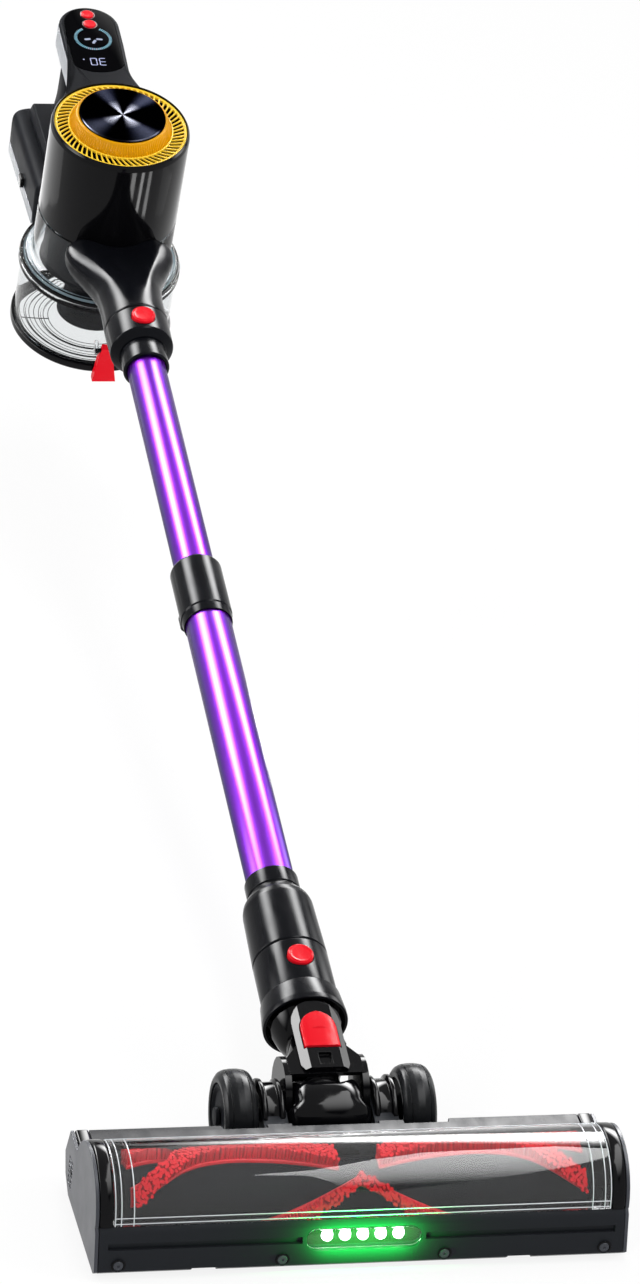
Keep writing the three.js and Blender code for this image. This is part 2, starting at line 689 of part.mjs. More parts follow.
function axlePin() {
  const head = WHEEL_OUTER + 1.2;
  const profile = [[0, ARM_INNER + GAP], [PIN_RADIUS, ARM_INNER + GAP], [PIN_RADIUS, WHEEL_OUTER - 1.2],
    [PIN_RADIUS + 2.5, WHEEL_OUTER - 1.2], [PIN_RADIUS + 1.5, head], [0, head]];
  return moved(alongX(turned(profile, COARSE)), 0, 0, WHEEL_RADIUS);
}

function wheelTyre() {
  const groove = 0.8;
  const side = WHEEL_WIDTH / 2;
  const profile = [
    [HUB_RADIUS + GAP, -side + 1], [WHEEL_RADIUS - 4.5, -side], [WHEEL_RADIUS - 1.2, -side + 2.4],
    [WHEEL_RADIUS - 0.5, -side + 4.4], [WHEEL_RADIUS - 0.5 - groove, -side + 4.9],
    [WHEEL_RADIUS, -side + 5.4], [WHEEL_RADIUS, side - 5.4], [WHEEL_RADIUS - 0.5 - groove, side - 4.9],
    [WHEEL_RADIUS - 0.5, side - 4.4], [WHEEL_RADIUS - 1.2, side - 2.4],
    [WHEEL_RADIUS - 4.5, side], [HUB_RADIUS + GAP, side - 1],
  ];
  return moved(alongX(ring(profile, FINE)), WHEEL_X, 0, WHEEL_RADIUS);
}

function wheelHub() {
  const side = WHEEL_WIDTH / 2;
  const profile = [
    [PIN_RADIUS + GAP, -side + 1], [9, -side + 1], [11, -side + 3], [HUB_RADIUS, -side + 2],
    [HUB_RADIUS, side - 1.5], [HUB_RADIUS - 2, side - 1.2],
    [HUB_RADIUS - 4, side - 2.6], [9, side - 1.8], [PIN_RADIUS + GAP, side - 1.5 - GAP],
  ];
  return moved(alongX(ring(profile, MEDIUM)), WHEEL_X, 0, WHEEL_RADIUS);
}

for (const [side, place] of [['right', (geometry) => geometry], ['left', mirrored]]) {
  add(head, `axle_${side}`, place(axlePin()), finishes.steel);
  add(head, `tyre_${side}`, place(wheelTyre()), finishes.rubber);
  add(head, `wheel_hub_${side}`, place(wheelHub()), finishes.matteBlack);
}

// The two arms and the lugs above and below the swivel, in the wand's frame.
function neckYoke() {
  const axle = [WAND_OFFSET, 0];
  const outline = bandOutline(axle[0], axle[1], BARREL_RADIUS - 1, 0, 13, LUG_OUTER, 12);
  const arm = prismX(outline, ARM_INNER, ARM_INNER + ARM_THICKNESS);
  const lugOutline = [...arc(0, SWIVEL_S, 12, 0, 180, 10), [-ARM_INNER - 1, 20], [-ARM_INNER - 1, 7],
    [ARM_INNER + 1, 7], [ARM_INNER + 1, 20]];
  const lugHole = circle(0, SWIVEL_S, 5 + GAP);
  const lug = (low, high) => prismY(lugOutline, low, high, [lugHole]);
  const yoke = join(arm, mirrored(arm), lug(-LUG_OUTER, -LUG_INNER), lug(LUG_INNER, LUG_OUTER));
  const pinHole = moved(alongX(rod(PIN_RADIUS + GAP, -40, 40, COARSE)), 0, WAND_OFFSET, 0);
  return cut(yoke, pinHole);
}

// The glossy snout that turns in the hollow of the head and opens round the hose.
function neckShell() {
  const lowest = -16; // degrees round the axle, from straight ahead
  const [rows, columns] = [8, 12];
  const front = [[-16, 20.9], [-2, 26.2], [16, 28.9], [36, 29.2], [58, 28.3], [75, 26.6], [100, 23.2], [128, 21]];
  const width = [[-16, 25.2], [36, 25.2], [53, 20.8], [128, 20.2]];
  const shell = (wall, extra) => {
    const rings = [];
    for (let i = 0; i <= rows; i += 1) {
      const points = [];
      for (let j = 0; j <= columns; j += 1) {
        const turn = (Math.PI * j) / columns;
        const [c, s] = [Math.cos(turn), Math.sin(turn)];
        const rim = 75 + 45 * c * c + extra;
        const angle = lowest - extra + ((rim - lowest + extra) * i) / rows;
        const held = Math.min(Math.max(angle, lowest), 127);
        const top = between(front, held) - wall;
        const base = 14;
        const x = (between(width, held) - wall) * Math.sign(c) * Math.abs(c) ** 0.62;
        const r = base + (top - base) * s ** 0.62;
        points.push([x, -r * Math.cos(rad(angle)), r * Math.sin(rad(angle))]);
      }
      rings.push(points);
    }
    return loft(rings);
  };
  const turnedBack = new THREE.Matrix4().makeRotationX(rad(LEAN));
  const hollow = cut(shell(0, 0), shell(2.2, 3), alongX(rod(BARREL_RADIUS + 2, -60, 60)));
  const hose = moved(rod(HOSE_RADIUS + 2 * GAP, -12, 60), 0, -WAND_OFFSET, 0);
  return cut(hollow.applyMatrix4(turnedBack), hose);
}

// The corrugated hose between the neck and the elbow.
function neckHose() {
  const [start, end] = [-6, SWIVEL_S - SWIVEL_RADIUS - SEAT];
  const ribs = 5;
  const pitch = (end - start) / ribs;
  const outer = [];
  for (let i = 0; i < ribs; i += 1) {
    outer.push([HOSE_RADIUS - 1.4, start + i * pitch], [HOSE_RADIUS, start + (i + 0.5) * pitch]);
  }
  return ring([[9.6, start], ...outer, [HOSE_RADIUS - 1.4, end], [9.6, end]], MEDIUM);
}

add(line, 'neck_yoke', neckYoke(), finishes.grey);
add(neck, 'neck_shell', neckShell(), finishes.glossBlack);
add(line, 'neck_hose', neckHose(), finishes.rubber);

// ---------------------------------------------------------------- elbow

const PLATE_LOW = LUG_OUTER + GAP;
const PLATE_HIGH = 23.6;
const TAB_START = 24;
const TAB_END = 51;
const TAB_HALF = 11;

function elbowBody() {
  const drum = alongY(rod(SWIVEL_RADIUS, -LUG_INNER + GAP, LUG_INNER - GAP));
  const pins = alongY(rod(5, -LUG_OUTER, LUG_OUTER, COARSE));
  const barrel = turned([
    [0, SWIVEL_S - 8], [15, SWIVEL_S - 8], [15, SWIVEL_S + 14], [18, SWIVEL_S + 17], [22.2, SKIRT_S - 1],
    [SPIGOT_RADIUS, SKIRT_S - 1], [SPIGOT_RADIUS, SPIGOT_END], [0, SPIGOT_END],
  ]);
  const body = join(barrel, moved(drum, 0, 0, SWIVEL_S), moved(pins, 0, 0, SWIVEL_S));
  const bore = rod(DUCT_BORE, 0, SPIGOT_END + 1);
  const plateSeat = box(-TAB_HALF - 5, TAB_HALF + 5, -40, -LUG_OUTER, SWIVEL_S - 25, SKIRT_S - 0.5);
  const catchHole = moved(alongY(rod(BUTTON_RADIUS + 1, 14, 30, COARSE)), 0, 0, SLEEVE_S + 19);
  return cut(body, bore, plateSeat, catchHole.rotateZ(Math.PI));
}

// The plate over the swivel: a square socket at its foot and a round-ended window for the tab.
function elbowPlate() {
  const half = TAB_HALF + 4;
  const outline = [[-half + 2, 8], [half - 2, 8], [half, 13], ...arc(0, SKIRT_S - 1 - half, half, 0, 180, 10), [-half, 13]];
  const window = [[-TAB_HALF - SEAT, TAB_START], [TAB_HALF + SEAT, TAB_START],
    ...arc(0, TAB_END - TAB_HALF, TAB_HALF + SEAT, 0, 180, 10)];
  const plate = prismY(outline, -PLATE_HIGH, -PLATE_LOW, [window]);
  const socket = box(-3.9, 3.9, -PLATE_HIGH - 1, -PLATE_LOW - 1.2, 11, 20);
  const crown = rod(PLATE_HIGH + 2, 0, SKIRT_S);
  return cut(common(plate, crown), socket);
}

function elbowTab() {
  const outline = [[-TAB_HALF, TAB_START + SEAT], [TAB_HALF, TAB_START + SEAT],
    ...arc(0, TAB_END - TAB_HALF, TAB_HALF, 0, 180, 10)];
  const block = prismY(outline, -30, -PLATE_LOW - 2.2);
  const crown = rod(PLATE_HIGH + 2.8, 0, SKIRT_S + 5, FINE);
  const step = prismX([[-30, TAB_START], [-PLATE_HIGH - 1.2, TAB_START], [-PLATE_HIGH - 2, 38], [-30, 38]], -12, 12);
  return cut(common(block, crown), step);
}

const skirtProfile = [
  [24, SKIRT_S], [26, SKIRT_S], [26, SKIRT_S + 4], [24.6, SLEEVE_S - GAP], [SPIGOT_RADIUS + GAP, SLEEVE_S - GAP],
  [SPIGOT_RADIUS + GAP, SLEEVE_S - 7], [22.8, SLEEVE_S - 8],
];

add(line, 'elbow_body', elbowBody(), finishes.grey);
add(line, 'elbow_plate', elbowPlate(), finishes.matteBlack);
add(line, 'elbow_tab', elbowTab(), finishes.red);
add(line, 'connector_skirt', ring(skirtProfile), finishes.glossBlack);

// ---------------------------------------------------------------- wand

// A hole across the wand for a round button on its upper side.
function buttonHole(s, low) {
  return moved(alongY(rod(BUTTON_RADIUS + SEAT, low, 40, MEDIUM)).rotateZ(Math.PI), 0, 0, s);
}

// A round push button on the wand's upper side: crowned on top, from low to high off the centre line.
function roundButton(s, low, high) {
  const profile = [[0, low], [BUTTON_RADIUS, low], [BUTTON_RADIUS, high - 1.2], [BUTTON_RADIUS - 1, high - 0.3],
    [BUTTON_RADIUS - 3, high], [0, high]];
  return moved(alongY(turned(profile, MEDIUM)).rotateZ(Math.PI), 0, 0, s);
}

const SLEEVE_RADIUS = 23.2;
const SLEEVE_BUTTON_S = SLEEVE_S + 19;

function connectorSleeve() {
  const inner = SPIGOT_RADIUS + GAP;
  const profile = [[inner, SLEEVE_S], [SLEEVE_RADIUS + 0.2, SLEEVE_S], [SLEEVE_RADIUS, CONNECTOR_S - 1],
    [SLEEVE_RADIUS - 0.6, CONNECTOR_S - GAP], [inner, CONNECTOR_S - GAP]];
  return cut(ring(profile), buttonHole(SLEEVE_BUTTON_S, 0));
}

// The wand's lower end: a round-shouldered socket with four small notches under its top ring.
function connectorBody() {
  const inner = SPIGOT_RADIUS + GAP;
  const profile = [
    [inner, CONNECTOR_S], [SLEEVE_RADIUS - 0.6, CONNECTOR_S], [SLEEVE_RADIUS, CONNECTOR_S + 1],
    [22, SHOULDER_S - 4], [21, SHOULDER_S], [17.4, SHOULDER_S + 6.5], [16, SHOULDER_S + 7], [16, SHOULDER_S + 8.5],
    [16.8, SHOULDER_S + 9], [16.8, CONNECTOR_END - 0.8], [16, CONNECTOR_END],
    [LOWER_TUBE_RADIUS + GAP, CONNECTOR_END], [LOWER_TUBE_RADIUS + GAP, LOWER_TUBE_START - GAP],
    [DUCT_BORE, LOWER_TUBE_START - GAP], [DUCT_BORE, SPIGOT_END + GAP], [inner, SPIGOT_END + GAP],
  ];
  const notches = [];
  for (let i = 0; i < 4; i += 1) {
    const notch = moved(box(-3, 3, 18.4, 30, SHOULDER_S + 1, SHOULDER_S + 7), 0, 0, 0);
    notches.push(notch.rotateZ(rad(45 + 90 * i)));
  }
  return cut(ring(profile), ...notches);
}

// The clamp at the joint of the two tubes, with its release key on the underside.
function tubeCollar() {
  const lower = LOWER_TUBE_RADIUS + GAP;
  const upper = UPPER_TUBE_RADIUS + GAP;
  const profile = [
    [lower, COLLAR_START], [COLLAR_RADIUS - 1, COLLAR_START], [COLLAR_RADIUS - 0.6, COLLAR_START + 6],
    [COLLAR_RADIUS, COLLAR_START + 7], [COLLAR_RADIUS, COLLAR_END - 2.4], [COLLAR_RADIUS - 0.8, COLLAR_END - 0.7],
    [COLLAR_RADIUS - 2.4, COLLAR_END], [upper, COLLAR_END], [upper, LOWER_TUBE_END + GAP],
    [lower, LOWER_TUBE_END + GAP],
  ];
  const keyHole = prismY(roundedBox(0, 0, 5 + SEAT, 8.5 + SEAT, 4.9 + SEAT), 10, 30);
  const boss = common(prismY(roundedBox(0, 0, 8, 13, 4), UPPER_TUBE_RADIUS + GAP, COLLAR_RADIUS + 3), rod(COLLAR_RADIUS + 3, -13, 13));
  const collar = join(ring(profile), moved(boss, 0, 0, COLLAR_START + 22));
  return cut(collar, moved(keyHole, 0, 0, COLLAR_START + 22), rod(lower, COLLAR_START - 1, LOWER_TUBE_END + GAP));
}

function collarKey() {
  const key = prismY(roundedBox(0, 0, 5, 8.5, 4.9), LOWER_TUBE_RADIUS + GAP + 1.6, COLLAR_RADIUS + 4);
  return moved(key, 0, 0, COLLAR_START + 22);
}

const topRing = [
  [UPPER_TUBE_RADIUS + GAP, TOP_RING_START], [14.8, TOP_RING_START], [15.8, TOP_RING_START + 1],
  [15.8, DUCT_SLEEVE_START - GAP], [UPPER_TUBE_RADIUS + GAP, DUCT_SLEEVE_START - GAP],
];

add(line, 'connector_sleeve', connectorSleeve(), finishes.glossBlack);
add(line, 'connector_button', roundButton(SLEEVE_BUTTON_S, 16.6, 25.4), finishes.red);
add(line, 'connector_body', connectorBody(), finishes.glossBlack);
add(line, 'lower_tube', tubeRing(LOWER_TUBE_RADIUS, LOWER_TUBE_RADIUS - TUBE_WALL, LOWER_TUBE_START, LOWER_TUBE_END),
  finishes.purple);
add(line, 'tube_collar', tubeCollar(), finishes.glossBlack);
add(line, 'collar_key', collarKey(), finishes.matteBlack);
add(line, 'upper_tube', tubeRing(UPPER_TUBE_RADIUS, UPPER_TUBE_RADIUS - TUBE_WALL, UPPER_TUBE_START, UPPER_TUBE_END),
  finishes.purple);
add(line, 'wand_top_ring', ring(topRing, MEDIUM), finishes.glossBlack);

// ---------------------------------------------------------------- inlet duct

const DUCT_BUTTON_S = DUCT_SLEEVE_START + 15.5;

function ductSleeve() {
  const tube = UPPER_TUBE_RADIUS + GAP;
  const profile = [
    [tube, DUCT_SLEEVE_START], [16.4, DUCT_SLEEVE_START], [20.8, DUCT_SLEEVE_START + 3.5],
    [21.7, DUCT_SLEEVE_START + 4.5], [DUCT_RADIUS, DUCT_SEAM - 1], [DUCT_RADIUS - 0.7, DUCT_SEAM - GAP],
    [DUCT_BORE, DUCT_SEAM - GAP], [DUCT_BORE, UPPER_TUBE_END + GAP], [tube, UPPER_TUBE_END + GAP],
  ];
  return cut(ring(profile), buttonHole(DUCT_BUTTON_S, 14.6));
}

// The black duct: a round barrel that narrows to a waist and spreads into a two-lobed shield on the cylinder.
function inletDuct() {
  const stations = [
    // distance, half width, up, down, squareness
    [DUCT_SEAM, DUCT_RADIUS - 0.7, DUCT_RADIUS - 0.7, DUCT_RADIUS - 0.7, 2],
    [DUCT_SEAM + 1, DUCT_RADIUS, DUCT_RADIUS, DUCT_RADIUS, 2],
    [DUCT_SEAM + 18, 21.8, 21.6, 21.5, 2],
    [DUCT_SEAM + 33, 23.2, 20.2, 21.2, 2.1],
    [DUCT_SEAM + 43, 26, 17.4, 21, 2.3],
    [DUCT_SEAM + 53, 29.8, 13.8, 21, 2.6],
    [DUCT_SEAM + 63, 33.6, 10.8, 21, 3],
    [DUCT_SEAM + 72, 36.8, 8.9, 20.5, 3.3],
    [DUCT_SEAM + 79, 37.8, 8, 20, 3.5],
    [DUCT_SEAM + 84, 36.8, 7.5, 19.4, 3.5],
    [DUCT_SEAM + 88, 33.8, 7.2, 18.8, 3.4],
    [DUCT_SEAM + 93, 29, 7, 18, 3.2],
    [DUCT_SEAM + 105, 27, 7, 18, 3],
  ];
  const rings = stations.map(([s, half, up, down, power]) =>
    roundedRing(half, up, down, power, MEDIUM * 2 - 4, (x, y) => [x, -y, s]));
  const cylinder = alongY(rod(BODY_RADIUS + GAP, -60, 60, ROUND));
  const bore = rod(DUCT_BORE, DUCT_SEAM - 1, CLEANER_S);
  return cut(loft(rings), moved(cylinder, 0, 0, CLEANER_S), bore);
}

add(line, 'duct_sleeve', ductSleeve(), finishes.glossBlack);
add(line, 'duct_button', roundButton(DUCT_BUTTON_S, 17.4, 24.2), finishes.red);
add(line, 'inlet_duct', inletDuct(), finishes.glossBlack);

// ---------------------------------------------------------------- motor housing, filter and fan

const BULKHEAD = 3;

function motorHousing() {
  const inner = BODY_RADIUS - BODY_WALL;
  const profile = [
    [14, GAP], [BODY_RADIUS, GAP], [BODY_RADIUS, BODY_TOP - 4.5], [BODY_RADIUS - 0.6, BODY_TOP - 1.8],
    [BODY_RADIUS - 1.5, BODY_TOP - 0.4], [RING_RADIUS + GAP + 0.2, BODY_TOP], [RING_RADIUS + GAP, RING_TOP - 3],
    [inner - 2, RING_TOP - 3], [inner - 2, RING_TOP - 6], [inner, RING_TOP - 8], [inner, BULKHEAD], [14, BULKHEAD],
  ];
  return ring(profile, ROUND);
}

const RING_RADIUS = BODY_RADIUS - RING_STEP;
const SLOT_OUTER = RING_RADIUS - SLOT_RIM;

// The swirling air slots of the filter cap: each is a short blade-shaped hole.
function slotOutline(turn) {
  const points = [];
  const steps = 1;
  const side = (sign, from, to) => {
    for (let i = 0; i <= steps; i += 1) {
      const share = (from * (steps - i) + to * i) / steps;
      const radius = SLOT_INNER + (SLOT_OUTER - SLOT_INNER) * share;
      const angle = turn + rad(SLOT_SWIRL) * share + (sign * SLOT_WIDTH) / 2 / radius;
      points.push([radius * Math.cos(angle), radius * Math.sin(angle)]);
    }
  };
  side(-1, 0, 1);
  side(1, 1, 0);
  return points;
}

function filterCap() {
  const slots = [];
  for (let i = 0; i < SLOT_COUNT; i += 1) slots.push(slotOutline((2 * Math.PI * i) / SLOT_COUNT));
  const plateWall = 2.2;
  const outline = circle(0, 0, RING_RADIUS, SLOT_COUNT / 2);
  const plate = prismZ(outline, RING_TOP - plateWall, RING_TOP, [...slots, circle(0, 0, 34.5, ROUND)]);
  const skirt = ring([[33.5, RING_TOP - plateWall - 5], [36.2, RING_TOP - plateWall - 5], [36.2, RING_TOP],
    [32.2, SKIRT_TOP - 1], [31.4, SKIRT_TOP], [DISC_RADIUS + GAP, SKIRT_TOP], [DISC_RADIUS + GAP, SKIRT_TOP - 2],
    [8, SKIRT_TOP - 2], [8, SKIRT_TOP - 4], [30, SKIRT_TOP - 4]], ROUND);
  return join(plate, skirt);
}

const capDiscProfile = [
  [0, SKIRT_TOP - 2 + GAP], [DISC_RADIUS, SKIRT_TOP - 2 + GAP], [DISC_RADIUS, SKIRT_TOP + 1],
  [DISC_RADIUS - 1.2, SKIRT_TOP + 1.8], [0, SKIRT_TOP + 1.2],
];

const FLANGE_Z = 30; // the suction motor's flange, which also carries the filter

function hepaFilter() {
  const pleats = 30;
  const tip = BODY_RADIUS - BODY_WALL - RING_STEP;
  const points = [];
  for (let i = 0; i < pleats; i += 1) {
    for (const [share, radius] of [[0, tip], [0.5, tip - PLEAT_DEPTH]]) {
      const angle = (2 * Math.PI * (i + share)) / pleats;
      points.push([radius * Math.cos(angle), radius * Math.sin(angle)]);
    }
  }
  return prismZ(points, FLANGE_Z + 3 + GAP, RING_TOP - 2.2 - 5 - GAP, [circle(0, 0, tip - PLEAT_DEPTH - PLEAT_WALL, FINE)]);
}

const motorProfile = [
  [0, 10], [2.5, 10], [2.5, 17], [22, 17], [24, 19], [24, FLANGE_Z], [BODY_RADIUS - BODY_WALL - GAP, FLANGE_Z],
  [BODY_RADIUS - BODY_WALL - GAP, FLANGE_Z + 3], [24, FLANGE_Z + 3], [24, 52], [20, 55], [6, 56], [6, 60], [0, 60],
];

function fanImpeller() {
  const blades = 7;
  const disc = ring([[2.5 + GAP, 10.4], [22, 10.4], [22, 11.8], [6, 12.6], [6, 16.6], [2.5 + GAP, 16.6]], MEDIUM);
  const pieces = [];
  for (let i = 0; i < blades; i += 1) {
    const outline = [...arc(8, 0, 13, 100, 20, 3), ...arc(8, 0, 11.8, 20, 100, 3)];
    const blade = prismZ(outline.map(([x, y]) => [x, y - 9]), 5, 10.8);
    pieces.push(blade.rotateZ((2 * Math.PI * i) / blades));
  }
  return join(disc, ...pieces);
}

add(cleaner, 'motor_housing', motorHousing(), finishes.glossBlack);
add(cleaner, 'filter_cap', filterCap(), finishes.yellow);
add(cleaner, 'cap_disc', turned(capDiscProfile), finishes.darkMetal);
add(cleaner, 'hepa_filter', hepaFilter(), finishes.filter);
add(cleaner, 'suction_motor', turned(motorProfile, MEDIUM), finishes.steel);
add(cleaner, 'fan_impeller', fanImpeller(), finishes.matteBlack);

// ---------------------------------------------------------------- dust cup, cyclone and lid

const LATCH_PIN_Y = -CUP_RADIUS - 4;
const LATCH_PIN_Z = -79;
const LATCH_EAR = 5.6;

// The clear cup: a narrow neck, a stepped flange and a wider bin, with the ears of the lid latch.
function dustCup() {
  const outer = [
    [BODY_RADIUS, -GAP], [BODY_RADIUS, FLANGE_TOP + 2], [FLANGE_RADIUS - 4, FLANGE_TOP],
    [FLANGE_RADIUS - 4, FLANGE_TOP - 2.4], [FLANGE_RADIUS - 1.6, FLANGE_TOP - 2.4],
    [FLANGE_RADIUS - 1.6, FLANGE_TOP - 4.4], [FLANGE_RADIUS, FLANGE_TOP - 4.8], [FLANGE_RADIUS, FLANGE_TOP - 8],
    [CUP_RADIUS, FLANGE_TOP - 9], [CUP_RADIUS, CUP_BOTTOM],
  ];
  const inner = [
    [CUP_RADIUS - CUP_WALL, CUP_BOTTOM], [CUP_RADIUS - CUP_WALL, FLANGE_TOP - 4],
    [BODY_RADIUS - CUP_WALL, FLANGE_TOP], [BODY_RADIUS - CUP_WALL, -GAP],
  ];
  const ear = prismX([[-CUP_RADIUS + 1, LATCH_PIN_Z + 6], [LATCH_PIN_Y - 1, LATCH_PIN_Z + 4],
    [LATCH_PIN_Y - 3, LATCH_PIN_Z], [LATCH_PIN_Y - 1, LATCH_PIN_Z - 3], [-CUP_RADIUS + 1, LATCH_PIN_Z - 5]],
    LATCH_EAR, LATCH_EAR + 2.4);
  const hingeOutline = [[CUP_RADIUS - 2.8, CUP_BOTTOM + 16], [LID_HINGE_Y - 1, CUP_BOTTOM + 9],
    ...arc(LID_HINGE_Y, LID_HINGE_Z, 3.2, 45, -180, 6), [LID_HINGE_Y - 3.2, CUP_BOTTOM + GAP],
    [CUP_RADIUS - 2.8, CUP_BOTTOM + GAP]];
  const hinge = prismX(hingeOutline, 10, 14);
  const cup = join(ring([...outer, ...inner], ROUND), ear, mirrored(ear), hinge, mirrored(hinge));
  const pinHole = moved(alongX(rod(1.5 + GAP, -10, 10, 12)), 0, LATCH_PIN_Y, LATCH_PIN_Z);
  const hingeHole = moved(alongX(rod(1.6 + GAP, -20, 20, 12)), 0, LID_HINGE_Y, LID_HINGE_Z);
  const inlet = moved(alongY(rod(9, -60, -30, COARSE)), 0, 0, -12);
  return cut(cup, pinHole, hingeHole, inlet);
}

// The cone that turns the air down, and the perforated shroud below it.
const coneProfile = [
  [38, -1],
  [BODY_RADIUS - CUP_WALL - GAP, -1],
  [BODY_RADIUS - CUP_WALL - GAP, -4],
  [CONE_RADIUS + 2, -6],
  [CONE_RADIUS, CONE_FOOT],
  [SHROUD_RADIUS + 0.6, SHROUD_TOP],
  [SHROUD_RADIUS - SHROUD_WALL, SHROUD_TOP],
  [CONE_RADIUS - SHROUD_WALL, CONE_FOOT],
];

function meshShroud() {
  const [top, low] = [SHROUD_TOP - GAP, SHROUD_BOTTOM];
  const [outer, inner] = [SHROUD_RADIUS, SHROUD_RADIUS - SHROUD_WALL];
  return ring([[inner, top], [outer, top], [outer, low], [outer + 1.4, low - 2], [outer + 1.4, low - 5],
    [outer - 9.6, low - 8], [outer - 13.6, low - 8], [outer - 13.6, low - 5], [inner + 1.4, low - 2],
    [inner, low + 2]], MEDIUM);
}

// The lid's black rim with its hinge knuckle, and the clear pane with raised rings.
function lidRim() {
  const top = CUP_BOTTOM - GAP;
  const profile = [[50.4, top], [LID_RADIUS, top], [LID_RADIUS, LID_BOTTOM + 1], [LID_RADIUS - 1, LID_BOTTOM],
    [48.4, LID_BOTTOM], [48.4, LID_BOTTOM + 1.6], [50.4, LID_BOTTOM + 1.6]];
  const knuckle = prismX([[LID_RADIUS - 3, top], [LID_RADIUS - 0.5, top], [LID_HINGE_Y, LID_HINGE_Z + 3.2],
    ...arc(LID_HINGE_Y, LID_HINGE_Z, 3.2, 60, -90, 5), [LID_RADIUS - 3, LID_BOTTOM]], -9.6, 9.6);
  const pin = moved(alongX(rod(1.6, -14, 14, 12)), 0, LID_HINGE_Y, LID_HINGE_Z);
  const catchLip = prismX([[-LID_RADIUS + 2, top - 1], [-LID_RADIUS - 1.4, top - 1], [-LID_RADIUS - 1.4, top - 2.6],
    [-LID_RADIUS + 2, top - 2.6]], -4, 4);
  return join(ring(profile, ROUND), knuckle, pin, catchLip);
}

function lidPane() {
  const low = LID_BOTTOM + 1.6 + GAP;
  const profile = [[0, low], [50.1, low], [50.1, low + 3]];
  for (const radius of [43, 33]) {
    profile.push([radius + 1.2, low + 2], [radius + 1, low + 3], [radius - 1, low + 3], [radius - 1.2, low + 2]);
  }
  profile.push([0, low + 2]);
  return turned(profile, ROUND);
}

// The red latch: a wedge that widens downwards, on a cross pin between the cup's ears, with a hook under the lip.
function lidLatch() {
  const wedge = [[-3, LATCH_PIN_Z + 4], [3, LATCH_PIN_Z + 4], [LATCH_EAR - 0.8, LATCH_PIN_Z - 3],
    [8.3, LID_BOTTOM - 1], [-8.3, LID_BOTTOM - 1], [-LATCH_EAR + 0.8, LATCH_PIN_Z - 3]];
  const face = prismY(wedge, LATCH_PIN_Y - 9, LATCH_PIN_Y + 3.2);
  const side = [[LATCH_PIN_Y + 2, LATCH_PIN_Z + 4], [LATCH_PIN_Y + 2.2, LATCH_PIN_Z - 8],
    [-LID_RADIUS - 1.4 - GAP, CUP_BOTTOM + 1], [-LID_RADIUS - 1.4 - GAP, LID_BOTTOM + 1],
    [LATCH_PIN_Y - 1.4, LID_BOTTOM - 1], [LATCH_PIN_Y - 6.5, LID_BOTTOM - 1], [LATCH_PIN_Y - 1.6, LATCH_PIN_Z + 2]];
  const pin = moved(alongX(rod(1.5, -LATCH_EAR - 2, LATCH_EAR + 2, 12)), 0, LATCH_PIN_Y, LATCH_PIN_Z);
  return join(common(face, prismX(side, -9, 9)), pin);
}

add(cleaner, 'dust_cup', dustCup(), finishes.clear);
add(cleaner, 'cyclone_cone', ring(coneProfile), finishes.matteBlack);
add(cleaner, 'mesh_shroud', meshShroud(), finishes.matteBlack);
add(cleaner, 'lid_rim', lidRim(), finishes.glossBlack);
add(cleaner, 'lid_pane', lidPane(), finishes.clear);
add(cleaner, 'lid_latch', lidLatch(), finishes.red);

// ---------------------------------------------------------------- handle, display and battery

const HANDLE_CENTRE = HANDLE_END - HANDLE_HALF;
const PANEL_HALF = 17.4;
const PANEL_START = 79;
const PANEL_DEPTH = 2;
const DISPLAY_BUTTONS = [['power_button', 144.8], ['mode_button', 133.6]];
const DISPLAY_BUTTON_RADIUS = 4.4;

// The battery's frame: origin at the middle of its top front edge, Y along the pack.
const batteryFrame = new THREE.Matrix4()
  .makeTranslation(0, BATTERY_FRONT, BATTERY_TOP)
  .multiply(new THREE.Matrix4().makeRotationX(-rad(BATTERY_TILT)));
const inBatteryFrame = (geometry) => geometry.clone().applyMatrix4(batteryFrame);

// The upper side of the handle seen from above: a flare at the cylinder, a waist and a round end.
function handleOutline(inset) {
  const half = HANDLE_HALF - inset;
  const right = [[34 - inset, 36], [31 - inset, 52], [25.5 - inset, 64], [20.7 - inset, 78], [half, 112]];
  const end = arc(0, HANDLE_CENTRE, half, 8, 172, 14);
  return [...right, ...end, ...right.toReversed().map(([x, y]) => [-x, y])];
}

function panelOutline(inset) {
  const half = PANEL_HALF - inset;
  const end = arc(0, 0, half, 0, 180, 12).map(([x, y]) => [x, HANDLE_CENTRE + y * 1.08]);
  const start = arc(0, PANEL_START + half, half, 180, 360, 10).map(([x, y]) => [x, PANEL_START + inset
    + (y - PANEL_START - inset) * 0.6]);
  return [...end, ...start];
}

function handleFrame() {
  const bottom = DISPLAY_TOP - HEAD_DEPTH;
  const top = prismZ(handleOutline(0), bottom + 3, DISPLAY_TOP - 1);
  const crown = prismZ(handleOutline(1.2), bottom, DISPLAY_TOP);
  const grip = loft([
    [bottom + 6, GRIP_Y + 6, 16, 21], [bottom - 6, GRIP_Y + 4, 15.5, 18.5], [18, GRIP_Y + 4, 15.8, 17.5],
    [-4, GRIP_Y + 6, 15.5, 17.5], [-22, GRIP_Y + 8, 16.5, 19], [-30, GRIP_Y + 8, 17.5, 20],
  ].map(([z, y, half, depth]) => roundedRing(half, depth, depth, 2.4, 24, (x, d) => [x, y + d, z])));
  const dock = inBatteryFrame(prismX([[-24, GAP], [100, GAP], [100, 6], [92, 15], [20, 13], [-24, 10]], -28, 28));
  const body = join(top, crown, grip, dock);
  const cylinder = rod(BODY_RADIUS + GAP, -60, 90, ROUND);
  const recess = prismZ(panelOutline(-GAP), DISPLAY_TOP - PANEL_DEPTH, DISPLAY_TOP + 1);
  const wells = DISPLAY_BUTTONS.map(([, y]) => moved(rod(DISPLAY_BUTTON_RADIUS + SEAT, 0, 4, COARSE), 0, y,
    DISPLAY_TOP - PANEL_DEPTH - 3));
  const rail = inBatteryFrame(box(-9, 9, 5, 112, -1, 3 + GAP));
  return cut(body, cylinder, recess, rail, ...wells);
}

